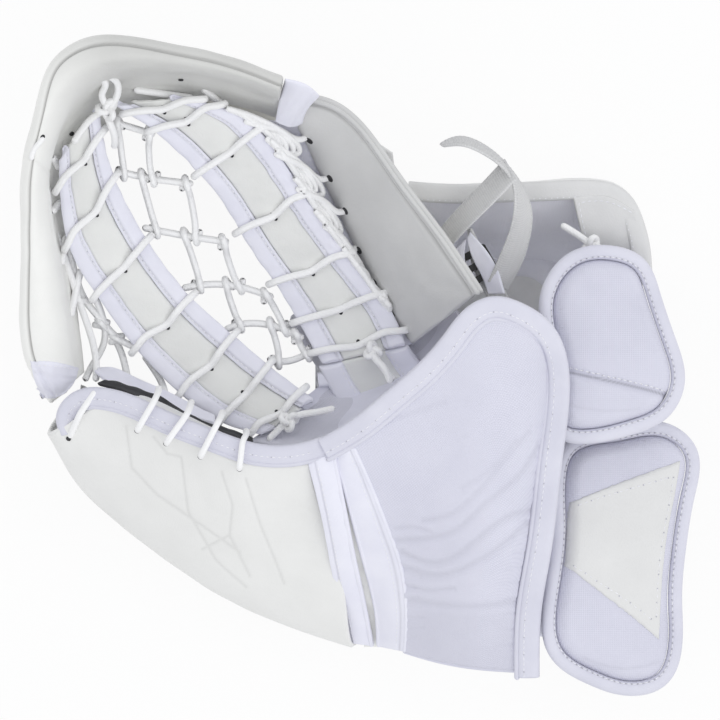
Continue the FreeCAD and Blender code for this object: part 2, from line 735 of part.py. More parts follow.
THUMB_STITCHES = [
    ((-138, -24, 134), (-134, -13, 133), (-128, -3, 112)),
    ((-118, -34, 139), (-112, -22, 138), (-106, -14, 112)),
    ((-98, -44, 143), (-92, -34, 142), (-86, -24, 112)),
    ((-76, -53, 146), (-71, -42, 146), (-66, -32, 116)),
    ((-171, -38, 104), (-163, -26, 117), (-155, -15, 121)),
]


def make_thumb_lacing():
    add("thumb_lacing", group([lace(*stitch, lift=2.6) for stitch in THUMB_STITCHES]))


def make_rim_tab():
    rails = [
        rail((-190, 2, 98), (-178, 2, 90), (-165, 0, 84)),
        rail((-186, -10, 92), (-180, -10, 86), (-172, -9, 84)),
    ]
    add("rim_gusset_tab", layer(rails, 0, size("liner"), 4))


# ---- cuff ------------------------------------------------------------------------------------------


def cuff_grid(count=9):
    """The front cuff's surface, from its edge beside the slit to its far edge."""
    top = along(CUFF_TOP, count)
    low = along(CUFF_LOW, count)
    left, right = along(CUFF_LEFT, 7), along(CUFF_RIGHT, 7)
    grid = []
    for i in range(7):
        share = i / 6
        row = []
        for j in range(count):
            across = j / (count - 1)
            edge = top[j] + (low[j] - top[j]) * share
            side = left[i] + (right[i] - left[i]) * across
            corner = (
                (left[0] * (1 - across) + right[0] * across) * (1 - share)
                + (left[-1] * (1 - across) + right[-1] * across) * share
            )
            point = edge + side - corner
            swell = 16 * math.sin(math.pi * share) * math.sin(math.pi * across)
            row.append(point + Vector(0, 0, swell))
        grid.append(row)
    return grid


def make_cuff():
    grid = cuff_grid()
    liner, gap = size("liner"), size("gap")
    add("front_cuff_panel", slab(grid, offset(grid, -liner)))
    depths = [liner + size("cuff_ease"), size("cuff_foam"), size("cuff_ease"), size("board")]
    levels = [sum(depths[:index + 1]) for index in range(4)]
    inner = [[row[1:-1] for row in offset(grid, -level)[1:-1]] for level in levels]
    add("front_cuff_foam", slab(inner[0], inner[1]))
    add("front_cuff_board", slab(inner[2], inner[3]))
    line = rail(
        (-12, -39, 148), (0, -33, 150), (18, -19, 151), (36, -4, 152), (54, 16, 152), (68, 32, 152),
        (78, 36, 151),
        (92, 33, 148), (107, 23, 142), (115, 8, 134), (117, -20, 125), (113, -54, 117), (107, -105, 103),
        (101, -140, 93), (101, -173, 84),
    )
    add("cuff_binding", bar(line, size("binding"), size("binding_thick"), 15))
    side = along(CUFF_LEFT, 6)
    rails = [SLIT_CUFF, raised(mix(SLIT_CUFF, side, 0.5), 1.5), mix(SLIT_CUFF, side, 0.97)]
    add("cuff_slit_strip", layer(rails, 0, size("strip_thick"), 8))


CUFF_HEM = rail((38, -122, 7.4), (56, -145, 7.4), (76, -152, 7.4), (98, -155, 7.4))


def make_cuff_side():
    """The fabric side that closes the cuff from its lower silhouette to the floor panel."""
    low = [p - Vector(0, 0, size("liner") + size("gap")) for p in CUFF_LOW]
    belly = [p + Vector(0, -7, -6) for p in mix(low, CUFF_HEM, 0.5)]
    add("cuff_side_panel", layer([low, belly, CUFF_HEM], 0, size("cuff_side_thick"), 7))


def make_flap_tapes():
    """The fabric tapes that carry the two flaps under the cuff's edge."""
    upper = [
        rail((102, 15, 131), (103, -4, 129), (102, -26, 119)),
        rail((104.6, 22, 109), (107.4, -4, 109), (109.4, -26, 108.5)),
    ]
    lower = [
        rail((100, -62, 111.6), (96, -100, 102.6), (90, -140, 90)),
        rail((111.3, -66, 81), (108.4, -95, 81), (105.5, -130, 81)),
    ]
    add("flap_tapes", group([layer(rails, 0, size("liner"), 5) for rails in (upper, lower)]))


def flap_outline(points, origin, tilt):
    """The outline in the flap's own plane, which falls by the tilt towards +X."""
    stretch = math.cos(math.radians(tilt))
    return [Vector((p.x - origin.x) / stretch, p.y - origin.y, 0) for p in points]


def outside(outline, distance, count=30):
    """Points at a distance outside a closed outline."""
    curve = spline(outline, closed=True)
    first, last = curve.FirstParameter, curve.LastParameter
    ring = []
    for index in range(count):
        place = first + (last - first) * index / count
        outward = curve.tangent(place)[0].cross(Vector(0, 0, 1)).normalize()
        ring.append((curve.value(place), outward))
    across = max(ring, key=lambda item: item[0].x)
    sign = 1 if across[1].x > 0 else -1
    return [point + outward * (sign * distance) for point, outward in ring]


def make_flap(name, points, origin, tilt_alias, patch=None):
    tilt = size(tilt_alias)
    outline = flap_outline(points, origin, tilt)
    place = Placement(origin, Rotation(Vector(0, 1, 0), tilt))
    body = new_body(f"{name}_pad")
    sketch = sketch_on(body, f"{name}_outline")
    sketch.addGeometry(spline(outline, closed=True), False)
    pad(body, f"{name}_block", sketch, "sizes.flap_pad")
    doc.recompute()
    block, top = body.Tip, highest_face(body)
    edge = body.newObject("PartDesign::Fillet", f"{name}_edge")
    edge.Base = (block, [top])
    edge.setExpression("Radius", "sizes.flap_round")
    body.Placement = place

    radius = size("flap_piping") / 2
    ring = outside(outline, radius + size("gap"))
    path = spline([p + Vector(0, 0, size("flap_pad") / 2) for p in ring], closed=True)
    start, direction = path.value(path.FirstParameter), path.tangent(path.FirstParameter)[0]
    profile = Part.Wire([Part.makeCircle(radius, start, direction)])
    shape = Part.Wire([path.toShape()]).makePipeShell([profile], True, False)
    shape.Placement = place
    add(f"{name}_piping", shape)
    if patch:
        flat = flap_outline(patch, origin, tilt)
        plate = new_body(f"{name}_patch")
        sketch = sketch_on(plate, f"{name}_patch_outline")
        for first, second in zip(flat, flat[1:] + flat[:1]):
            sketch.addGeometry(Part.LineSegment(first, second), False)
        pad(plate, f"{name}_patch_block", sketch, "sizes.patch_thick")
        lift = Vector(0, 0, size("flap_pad") + size("seam_gap"))
        plate.Placement = place.multiply(Placement(lift, Rotation()))


UPPER_FLAP = rail(
    (112, 44), (124, 60), (146, 64), (163, 59), (172, 44), (183, 12), (185, -10), (178, -24),
    (158, -32), (134, -36), (118, -34), (116, -6),
)
LOWER_FLAP = rail(
    (124, -49), (150, -42), (182, -40), (193, -50), (192, -72), (186, -104), (184, -136), (184, -165),
    (178, -182), (158, -187), (136, -180), (116, -166), (114, -130), (118, -90),
)
LOWER_PATCH = rail((121, -82), (183, -58), (175, -90), (171, -118), (171, -160), (117, -116))


def make_flaps():
    make_flap("upper_flap", UPPER_FLAP, at(112, 10, 100), "upper_flap_tilt")
    make_flap("lower_flap", LOWER_FLAP, at(116, -110, 72), "lower_flap_tilt", LOWER_PATCH)


def make_back_cuff():
    """The cuff's back: a floor under the wrist that turns up into a wall along the finger side."""
    wall = size("cuff_wall")
    high = size("cuff_wall_height") * STRETCH.z
    line = rail((29, 109), (53, 107), (98, 109), (146, 110), (158, 103), (166, 88), (171, 56))
    outside = raised(line, high)
    rails = [
        outside,
        raised([p + Vector(1, 1.5, 0) for p in line], high * 0.4),
        raised([p + Vector(0, -5, 0) for p in line], 7.0),
        rail(
            (34, 71.6, 2), (56, 70.5, 2), (92, 68.4, 2), (124, 65.6, 2), (138, 60, 2), (145, 50, 2),
            (149, 40, 2),
        ),
    ]
    grid = [along(points, 11) for points in rails]
    inner = offset(grid, -wall) if normals(grid)[0][5].y > 0 else offset(grid, wall)
    add("back_cuff_shell", slab(grid, inner))
    gap, liner = size("gap"), size("liner")
    sign = -1 if normals(grid)[0][5].y > 0 else 1
    first = offset(grid, sign * (wall + gap))
    add("back_cuff_lining", slab(first, offset(grid, sign * (wall + gap + liner))))


CUFF_FLOOR = rail(
    (125.3, 32), (166, 32), (170, 10), (172, -40), (166, -110), (150, -150), (100, -158), (60, -150),
    (36, -110), (40, -76), (125.3, -72),
)


def make_cuff_floor():
    floor = new_body("cuff_floor")
    sketch = sketch_on(floor, "cuff_floor_outline")
    for first, second in zip(CUFF_FLOOR, CUFF_FLOOR[1:] + CUFF_FLOOR[:1]):
        sketch.addGeometry(Part.LineSegment(first, second), False)
    pad(floor, "cuff_floor_block", sketch, "sizes.cuff_wall")


def make_back_patch():
    level = size("cuff_wall_height") * STRETCH.z + size("gap") + size("patch_thick")
    rails = [
        raised(rail((129, 104), (145, 106), (160, 98)), level),
        raised(rail((132, 80), (148, 80), (169, 72)), level),
    ]
    add("back_cuff_patch", layer(rails, 0, size("patch_thick"), 5))


# ---- wrist strap -----------------------------------------------------------------------------------


STRAP_SEAT = at(68, 50, 90)  # the middle of the strap under the buckle
STRAP_RUN = Vector(0.49, -0.86, 0.12).normalize()  # direction of the strap there
BUCKLE_AT = -8.0  # where the buckle sits along that run


def make_wrist_strap():
    """The webbing: its free end loops over, and its fixed end runs under the slide buckle."""
    width, thick = size("webbing"), size("webbing_thick")
    free = rail(
        (52, 134, 112), (66, 130, 118), (80, 122, 124), (91, 108, 126), (96, 92, 124), (94, 74, 116),
        (90, 54, 107), (84, 40, 98),
    ) + [STRAP_SEAT + STRAP_RUN * 19]
    back = rail((85, 117, 124), (77, 103, 116), (67, 92, 106), (57, 83, 96), (47, 76, 91), (41, 71.5, 90))
    seat = [STRAP_SEAT + STRAP_RUN * step for step in (-42, -26, -10, 6, 22)]
    runs = [
        bar(free, width * 0.96, thick, 11, Vector(0.5, 0.4, 1)),
        bar(back, width, thick, 7, Vector(0.4, -0.3, 1)),
        bar(seat, width, thick, 5),
    ]
    add("wrist_strap", runs[0].fuse(runs[1:]))


def make_buckle():
    body = new_body("strap_buckle")
    sketch = sketch_on(body, "buckle_frame")
    bar_width, slot = size("buckle_bar"), size("buckle_slot")
    rounded_box_sketch(sketch, 3 * bar_width + 2 * slot, size("webbing") + 2 * bar_width, bar_width / 2)
    for side in (-1, 1):
        rounded_box_sketch(sketch, slot, size("webbing") + 1.0, 1.0, x=side * (bar_width + slot) / 2)
    pad(body, "buckle_plate", sketch, "sizes.buckle_thick")
    turn = math.degrees(math.atan2(STRAP_RUN.y, STRAP_RUN.x))
    pitch = math.degrees(math.asin(STRAP_RUN.z))
    over = Vector(0, 0, size("webbing_thick") / 2 + size("gap") + 0.1)
    lie = Rotation(Vector(0, 0, 1), turn).multiply(Rotation(Vector(0, 1, 0), -pitch))
    body.Placement = Placement(STRAP_SEAT + STRAP_RUN * BUCKLE_AT + over, lie)
    loop = [STRAP_SEAT + STRAP_RUN * step + Vector(0, 0, 2.9) for step in (-38, -33, -28)]
    add("buckle_loop", bar(loop, size("webbing") + 4, size("loop_thick"), 4))


def make_cuff_knot():
    long_end = [(140, 73, 83.4), (119, 88, 82.2)]
    short_end = [(142, 72, 84), (156, 66, 83.4)]
    add("cuff_knot", knot(at(141, 72, 84), long_end, short_end))


# ---- assembly --------------------------------------------------------------------------------------

for make in (
    make_casing, make_rim_piping, make_finger_panel, make_finger_gusset, make_finger_back, make_straps,
    make_mesh, make_side_lacing, make_knots, make_palm, make_back_pad, make_stalls, make_thumb,
    make_thumb_binding, make_thumb_lacing, make_rim_tab, make_cuff, make_cuff_side, make_flap_tapes,
    make_flaps, make_back_cuff, make_cuff_floor, make_back_patch, make_wrist_strap, make_buckle,
    make_cuff_knot,
):
    make()

doc.recompute()

faults = [item.Label for item in doc.Objects if {"Invalid", "Error"} & set(item.State)]
for node in NODES:
    if node.Shape.isNull() or not node.Shape.isValid() or not node.Shape.Solids:
        faults.append(node.Label)
if faults:
    raise RuntimeError("these objects failed: " + ", ".join(faults))

os.makedirs("parts", exist_ok=True)
for node in NODES:
    node.Shape.exportStep(f"parts/{node.Label}.step")
print(len(NODES), "nodes")
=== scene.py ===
"""Goalie catch glove lying on its back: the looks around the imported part."""

import math

import bpy
import numpy as np
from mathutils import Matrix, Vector


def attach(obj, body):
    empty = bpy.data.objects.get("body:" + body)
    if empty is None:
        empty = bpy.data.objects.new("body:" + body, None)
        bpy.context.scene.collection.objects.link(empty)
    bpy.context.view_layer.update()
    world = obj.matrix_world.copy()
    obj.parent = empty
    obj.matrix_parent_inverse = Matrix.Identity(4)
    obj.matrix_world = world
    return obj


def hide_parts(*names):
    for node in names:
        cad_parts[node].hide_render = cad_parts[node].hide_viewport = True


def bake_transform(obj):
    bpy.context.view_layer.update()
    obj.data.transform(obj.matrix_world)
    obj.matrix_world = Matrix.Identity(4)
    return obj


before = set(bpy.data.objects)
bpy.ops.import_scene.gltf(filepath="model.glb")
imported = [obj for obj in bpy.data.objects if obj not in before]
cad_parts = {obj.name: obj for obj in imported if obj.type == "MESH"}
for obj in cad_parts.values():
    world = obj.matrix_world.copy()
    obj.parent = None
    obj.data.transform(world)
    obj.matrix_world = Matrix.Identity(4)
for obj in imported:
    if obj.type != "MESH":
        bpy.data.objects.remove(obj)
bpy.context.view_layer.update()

MM = 0.001
MIDDLE = np.array([2.66, -0.7, 0.0])  # the middle of the glove's outline, as its rails are given, in mm
UP = np.array([0.0, 0.0, 1.0])
LEVEL = np.array([1.0, 1.0, 0.0])  # takes the height out of a direction
DENSE = 401  # points of a curve before it is spaced evenly


# ---- points, curves and grids of points ------------------------------------------------------------


def rail(*corners):
    """Points given in mm from the glove's own middle, in metres in the part's frame."""
    return (np.array(corners, float) - MIDDLE) * MM


def plan(*places):
    """Places given in mm from the glove's own middle, without their height."""
    return rail(*[(x, y, 0) for x, y in places])


def step(x, y, z):
    """A move in mm, in metres."""
    return np.array([x, y, z], float) * MM


def unit(vectors):
    return vectors / np.maximum(np.linalg.norm(vectors, axis=-1, keepdims=True), 1e-12)


def line_lengths(points):
    """How far along the line each of its points is."""
    return np.concatenate([[0.0], np.cumsum(np.linalg.norm(np.diff(points, axis=0), axis=1))])


def cubic(points, samples):
    """A smooth curve through the points, at places measured along its chords."""
    points = np.asarray(points, float)
    knots = line_lengths(points)
    count = len(points)
    if count == 2:
        share = (samples * knots[-1])[:, None] / knots[-1]
        return points[0] * (1 - share) + points[1] * share
    step = np.diff(knots)
    system, right = np.zeros((count, count)), np.zeros((count, 3))
    system[0, 0] = system[-1, -1] = 1.0
    for i in range(1, count - 1):
        system[i, i - 1 : i + 2] = step[i - 1], 2 * (step[i - 1] + step[i]), step[i]
        right[i] = 6 * ((points[i + 1] - points[i]) / step[i] - (points[i] - points[i - 1]) / step[i - 1])
    bend = np.linalg.solve(system, right)
    place = samples * knots[-1]
    i = np.clip(np.searchsorted(knots, place, side="right") - 1, 0, count - 2)
    h, a, b = step[i][:, None], (knots[i + 1] - place)[:, None], (place - knots[i])[:, None]
    return (
        bend[i] * a**3 / (6 * h) + bend[i + 1] * b**3 / (6 * h)
        + (points[i] / h - bend[i] * h / 6) * a + (points[i + 1] / h - bend[i + 1] * h / 6) * b
    )


def pick(points, shares):
    """Points at shares of a dense line's length."""
    lengths = line_lengths(points)
    spots = np.asarray(shares) * lengths[-1]
    return np.stack([np.interp(spots, lengths, points[:, k]) for k in range(3)], axis=1)


def along(points, count, start=0.0, end=1.0, closed=False):
    """Evenly spaced points on the smooth curve through the given points."""
    points = np.asarray(points, float)
    if closed:
        wrapped = np.concatenate([points[-3:], points, points[:4]])
        fine = cubic(wrapped, np.linspace(0, 1, 1200))
        first = np.argmin(np.linalg.norm(fine[:600] - points[0], axis=1))
        last = 600 + np.argmin(np.linalg.norm(fine[600:] - points[0], axis=1))
        return pick(fine[first : last + 1], np.arange(count) / count)
    return pick(cubic(points, np.linspace(0, 1, DENSE)), np.linspace(start, end, count))


def mix(first, second, share):
    return first + (second - first) * share


def lattice(rails, across, count):
    """A grid of points through the rails: rows at shares of the way across, or that many even rows."""
    shares = np.linspace(0, 1, across) if isinstance(across, int) else np.asarray(across)
    long = np.stack([along(points, count) for points in rails])
    if len(rails) == 2:
        return long[0] + (long[1] - long[0]) * shares[:, None, None]
    fine = np.linspace(0, 1, DENSE)
    return np.stack([pick(cubic(long[:, j], fine), shares) for j in range(count)], axis=1)


def patchwork(top, low, left, right):
    """A grid of points between four edges that meet at their corners."""
    share = np.linspace(0, 1, len(left))[:, None, None]
    across = np.linspace(0, 1, len(top))[None, :, None]
    edge = top[None] + (low - top)[None] * share
    side = left[:, None] + (right - left)[:, None] * across
    corner = (left[0] * (1 - across) + right[0] * across) * (1 - share) + (
        left[-1] * (1 - across) + right[-1] * across
    ) * share
    return edge + side - corner


def normals(grid):
    """Unit normals of a grid, pointing up at its highest point."""
    across = np.gradient(grid, axis=0)
    onward = np.gradient(grid, axis=1)
    result = unit(np.cross(across, onward))
    high = np.unravel_index(np.argmax(grid[..., 2]), grid.shape[:2])
    return result if result[high][2] > 0 else -result


def surface_sizes(grid):
    """Lengths across and along a grid, for its weave and for distances from its edges."""
    across = np.linalg.norm(np.diff(grid, axis=0), axis=2)
    onward = np.linalg.norm(np.diff(grid, axis=1), axis=2)
    u = np.concatenate([np.zeros((1, grid.shape[1])), np.cumsum(across, axis=0)])
    v = np.concatenate([np.zeros((grid.shape[0], 1)), np.cumsum(onward, axis=1)], axis=1)
    return u, v


def flat_distance(points, line):
    """Distance in plan from each point to a line of points."""
    best = np.full(points.shape[:-1], 1e9)
    for a, b in zip(line[:-1, :2], line[1:, :2]):
        way = b - a
        share = np.clip(((points[..., :2] - a) @ way) / max(way @ way, 1e-12), 0, 1)
        nearest = a + share[..., None] * way
        best = np.minimum(best, np.linalg.norm(points[..., :2] - nearest, axis=-1))
    return best


def nearness(points, line, width):
    """1 on a line in plan, falling off beside it within about its width in mm."""
    return np.exp(-((flat_distance(points, line) / (width * MM)) ** 2))


def groove(points, line, depth, width):
    """A channel pressed in along a line, depth and width in mm."""
    return -depth * MM * nearness(points, line, width)


def press(relief, points, folds):
    """Adds a channel to the relief for each fold: its places in plan, its depth and its width in mm."""
    for places, depth, width in folds:
        relief += groove(points, along(plan(*places), 30), depth, width)


def across_rows(grid, first, last):
    """Even values across a grid, from first at its first row to last at its last one."""
    return np.linspace(first, last, len(grid))[:, None] * np.ones((1, grid.shape[1]))


WAVES = 7


def swell(points, scale, height, seed):
    """Gentle uneven waves, as padding and leather have: scale and height in mm."""
    source = np.random.RandomState(seed)
    total = np.zeros(points.shape[:-1])
    for _ in range(WAVES):
        way = unit(source.normal(size=3)) * (2 * math.pi / (scale * MM)) * source.uniform(0.6, 1.5)
        total += np.sin(points @ way + source.uniform(0, 2 * math.pi))
    return total * height * MM / 3.0


# ---- pieces ----------------------------------------------------------------------------------------


class Pile:
    """The vertices and faces of one piece, gathered from its parts."""

    def __init__(self):
        self.points, self.faces, self.weave, self.shade, self.count = [], [], [], [], 0

    def add(self, points, faces, weave=None, shade=None):
        points = np.asarray(points, float).reshape(-1, 3)
        size = len(points)
        self.points.append(points)
        self.faces.extend(tuple(int(i) + self.count for i in face) for face in faces)
        self.weave.append(points[:, :2] if weave is None else np.asarray(weave, float).reshape(-1, 2))
        self.shade.append(np.zeros(size) if shade is None else np.asarray(shade, float).reshape(-1))
        self.count += size

    def piece(self, name, material, body, slot, stands_for=(), padded=None, bend=False):
        points = np.concatenate(self.points)
        mesh = bpy.data.meshes.new(name)
        mesh.from_pydata(points.tolist(), [], self.faces)
        weave = np.concatenate(self.weave)
        layer = mesh.uv_layers.new(name="weave")
        order = np.zeros(len(mesh.loops), dtype=np.int64)
        mesh.loops.foreach_get("vertex_index", order)
        layer.data.foreach_set("uv", weave[order].astype(np.float32).ravel())
        shade = mesh.attributes.new("shade", "FLOAT", "POINT")
        shade.data.foreach_set("value", np.concatenate(self.shade).astype(np.float32))
        mesh.polygons.foreach_set("use_smooth", [True] * len(mesh.polygons))
        mesh.materials.append(material)
        obj = bpy.data.objects.new(name, mesh)
        bpy.context.scene.collection.objects.link(obj)
        if bend:
            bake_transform(obj)
        else:
            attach(obj, body)
        if stands_for:
            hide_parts(*stands_for)
        return obj


def strip_faces(rows, columns, closed_rows=False, closed_columns=False, start=0):
    faces = []
    for i in range(rows if closed_rows else rows - 1):
        for j in range(columns if closed_columns else columns - 1):
            a, b = i * columns + j, i * columns + (j + 1) % columns
            c, d = ((i + 1) % rows) * columns + (j + 1) % columns, ((i + 1) % rows) * columns + j
            faces.append((start + a, start + b, start + c, start + d))
    return faces


def border(rows, columns):
    """The rows and columns of a grid's outermost points, in their order round it."""
    return (
        [(0, j) for j in range(columns)] + [(i, columns - 1) for i in range(1, rows)]
        + [(rows - 1, j) for j in range(columns - 2, -1, -1)] + [(i, 0) for i in range(rows - 2, 0, -1)]
    )


# How a layer's edge is rounded, as shares of its thickness: its middle's way out, its rims' way in and down.
BULGE, TUCK, DROP = 0.12, 0.10, 0.16


def shell(pile, top, thick, relief, shade=None):
    """A closed layer with round edges under a grid of points. Returns its upper side and its normals."""
    rows, columns = top.shape[:2]
    up = normals(top)
    thick = thick * MM
    over, under = top + up * relief[..., None], top - up * thick
    ring = border(rows, columns)
    inward = {}
    for i, j in ring:
        inner = (min(max(i, 1), rows - 2), min(max(j, 1), columns - 2))
        inward[(i, j)] = unit(top[inner] - top[i, j])
    middle = []
    for i, j in ring:
        middle.append(top[i, j] - inward[(i, j)] * thick * BULGE - up[i, j] * thick * 0.5)
        over[i, j] = top[i, j] + inward[(i, j)] * thick * TUCK - up[i, j] * thick * DROP
        under[i, j] = under[i, j] + inward[(i, j)] * thick * TUCK + up[i, j] * thick * DROP
    size = rows * columns
    points = np.concatenate([over.reshape(-1, 3), under.reshape(-1, 3), np.array(middle)])
    faces = strip_faces(rows, columns)
    faces += [tuple(reversed(face)) for face in strip_faces(rows, columns, start=size)]
    index = [i * columns + j for i, j in ring]
    length = len(ring)
    for k in range(length):
        n = (k + 1) % length
        faces.append((index[n], index[k], 2 * size + k, 2 * size + n))
        faces.append((2 * size + n, 2 * size + k, size + index[k], size + index[n]))
    if np.dot(np.cross(top[1, 0] - top[0, 0], top[0, 1] - top[0, 0]), up[0, 0]) > 0:
        faces = [tuple(reversed(face)) for face in faces]
    u, v = surface_sizes(top)
    weave = np.stack([u.ravel(), v.ravel()], axis=1)
    edge = np.array([weave[i] for i in index])
    shades = np.zeros(size) if shade is None else shade.ravel()
    pile.add(points, faces, np.concatenate([weave, weave, edge]),
             np.concatenate([shades, shades, shades[index]]))
    return over, up


def frames(path, up=None, closed=False):
    """Tangent, side and rise at each point of a path."""
    ahead = np.roll(path, -1, axis=0) - np.roll(path, 1, axis=0)
    if not closed:
        ahead[0], ahead[-1] = path[1] - path[0], path[-1] - path[-2]
    ahead = unit(ahead)
    if up is not None:
        side = unit(np.cross(ahead, np.broadcast_to(up, path.shape)))
        return ahead, side, unit(np.cross(side, ahead))
    side = np.zeros_like(path)
    side[0] = unit(np.cross(ahead[0], UP if abs(ahead[0][2]) < 0.9 else np.array([1.0, 0, 0])))
    for k in range(1, len(path)):
        side[k] = unit(side[k - 1] - ahead[k] * np.dot(side[k - 1], ahead[k]))
    return ahead, side, np.cross(side, ahead)


def end_faces(rows, columns):
    """The two faces that close a tube's ends."""
    return [tuple(range(columns)), tuple(reversed(range((rows - 1) * columns, rows * columns)))]


def tube(pile, path, radius, sides=10, closed=False, flat=1.0, up=None):
    """A cord along a dense path, with round ends. radius in mm."""
    path = np.asarray(path, float)
    radius = radius * MM
    ahead, side, rise = frames(path, up, closed)
    scale = np.ones(len(path))
    if not closed:
        turns = np.array([0.25, 0.55, 0.85])
        lead = [path[0] - ahead[0] * radius * math.cos(t * math.pi / 2) for t in turns]
        tail = [path[-1] + ahead[-1] * radius * math.cos(t * math.pi / 2) for t in turns[::-1]]
        path = np.concatenate([lead, path, tail])
        grown = np.sin(turns * math.pi / 2)
        scale = np.concatenate([grown, scale, grown[::-1]])
        side = np.concatenate([side[:1]] * 3 + [side] + [side[-1:]] * 3)
        rise = np.concatenate([rise[:1]] * 3 + [rise] + [rise[-1:]] * 3)
    angle = np.arange(sides) * 2 * math.pi / sides
    ring = np.cos(angle)[None, :, None] * side[:, None] + np.sin(angle)[None, :, None] * rise[:, None] * flat
    points = path[:, None] + ring * (radius * scale)[:, None, None]
    lengths = line_lengths(path)
    weave = np.stack(np.broadcast_arrays((angle * radius)[None, :], lengths[:, None]), axis=2)
    faces = strip_faces(len(path), sides, closed_rows=closed, closed_columns=True)
    pile.add(points, faces if closed else faces + end_faces(len(path), sides), weave)


def sweep(pile, path, profile):
    """A shape with the given cross-section, mm across and mm up, along a dense path."""
    _, side, rise = frames(path, UP)
    profile = np.asarray(profile, float) * MM
    points = path[:, None] + side[:, None] * profile[None, :, :1] + rise[:, None] * profile[None, :, 1:]
    around = line_lengths(np.concatenate([profile, profile[:1]]))[:-1]
    weave = np.stack(np.broadcast_arrays(around[None, :], line_lengths(path)[:, None]), axis=2)
    count = len(profile)
    faces = strip_faces(len(path), count, closed_columns=True) + end_faces(len(path), count)
    pile.add(points, faces, weave)
    return side, rise


def lens(width, height, steps=9, sharp=0.35):
    """A padded strip's cross-section: flat under, crowned over, round at both edges."""
    half = width / 2
    top = []
    for k in range(steps + 1):
        x = -half + width * k / steps
        top.append((x, height * (1 - abs(x / half) ** 3.0) ** sharp if abs(x) < half else 0.0))
    return top + [(half * 0.97, -0.5), (half * 0.5, -0.8), (-half * 0.5, -0.8), (-half * 0.97, -0.5)]


# The stitches of each seam: their spacing, length and radius, and how far they stand above it, in mm.
HEM_SEAM = 3.3, 2.1, 0.30, 0.10
STRAP_SEAM = 3.2, 2.0, 0.30, 0.12
TAB_SEAM = 3.2, 2.0, 0.30, 0.10
SLIT_SEAM = 3.3, 2.2, 0.30, 0.10
EDGE_SEAM = 3.4, 2.3, 0.32, 0.10
FLAP_SEAM = 3.4, 2.3, 0.32, 0.25
FLAP_EDGE_SEAM = 3.6, 2.4, 0.32, 0.0
PATCH_SEAM = 3.6, 2.0, 0.28, 0.10
BACK_SEAM = 3.4, 2.2, 0.30, 0.15
BACK_TAB_SEAM = 3.4, 2.2, 0.30, 0.10
WEBBING_SEAM = 2.6, 1.7, 0.22, 0.15


def stitches(pile, line, up, pitch, length, radius, lift):
    """Short raised threads along a dense line."""
    lengths = line_lengths(line)
    count = max(2, int(lengths[-1] / (pitch * MM)))
    up = np.broadcast_to(up, line.shape)
    for k in range(count):
        middle = (k + 0.5) / count * lengths[-1]
        ends = [middle - length * MM / 2, middle, middle + length * MM / 2]
        spots = np.stack([np.interp(ends, lengths, line[:, c]) for c in range(3)], axis=1)
        rise = unit(np.array([np.interp(middle, lengths, up[:, c]) for c in range(3)]))
        spots = spots + rise * lift * MM
        spots[0] -= rise * 0.25 * MM
        spots[2] -= rise * 0.25 * MM
        _, side, above = frames(spots, rise)
        angle = (np.arange(6) * math.pi / 3)[None, :, None]
        ring = np.cos(angle) * side[:, None] + np.sin(angle) * above[:, None]
        size = np.array([0.55, 1.0, 0.55])[:, None, None] * radius * MM
        pile.add(spots[:, None] + ring * size, strip_faces(3, 6, closed_columns=True) + end_faces(3, 6))


def disc(pile, centre, up, radius, lift=0.25, sides=14):
    """A small round plug of painted shade, for the dark inside of a lace hole."""
    up = unit(np.asarray(up, float))
    side = unit(np.cross(up, np.array([1.0, 0.3, 0.2])))
    other = np.cross(up, side)
    angle = (np.arange(sides) * 2 * math.pi / sides)[:, None]
    ring = centre + up * lift * MM + radius * MM * (np.cos(angle) * side + np.sin(angle) * other)
    low = ring - up * 1.2 * MM
    faces = [tuple(range(sides)), tuple(reversed(range(sides, 2 * sides)))]
    faces += [((k + 1) % sides, k, sides + k, sides + (k + 1) % sides) for k in range(sides)]
    pile.add(np.concatenate([ring, low]), faces)


def needle_holes(pile, line, shares, up, radius, lift=0.25):
    """Small dark discs at shares of a dense line: painted shade in needle holes."""
    for spot in pick(line, shares):
        disc(pile, spot, up, radius, lift, 6)


def even_shares(line, pitch):
    """Shares of a dense line's length, a pitch in mm apart."""
    return np.linspace(0.01, 0.99, int(line_lengths(line)[-1] / (pitch * MM)))


NEIGHBOURS = 12  # points of a surface that a spot on it is read from
REACH_DOWN = 3.0  # those more than this many mm under the highest of them aren't


def seat(over, up, line, lift=0.0):
    """The points on top of a surface, in plan at a line's places, raised by mm along its normals."""
    flat, rise = over.reshape(-1, 3), up.reshape(-1, 3)
    points, ways = [], []
    for spot in line:
        gap = np.linalg.norm(flat[:, :2] - spot[:2], axis=1)
        near = np.argsort(gap)[:NEIGHBOURS]
        top = flat[near, 2].max()
        near = near[flat[near, 2] > top - REACH_DOWN * MM]
        weight = 1 / (gap[near] + 1e-4)
        weight /= weight.sum()
        way = unit((rise[near] * weight[:, None]).sum(0))
        points.append(np.array([spot[0], spot[1], (flat[near, 2] * weight).sum()]) + way * lift * MM)
        ways.append(way)
    return np.array(points), np.array(ways)


def layer(grids, thick, waves, name, material, body="hand", slot="leather", stands_for=(), **ways):
    """A piece of closed layers over grids of points. waves is their unevenness, as swell takes it."""
    pile = Pile()
    for grid in grids:
        shell(pile, grid, thick, swell(grid, *waves))
    pile.piece(name, material, body, slot, stands_for, **ways)


# ---- materials -------------------------------------------------------------------------------------


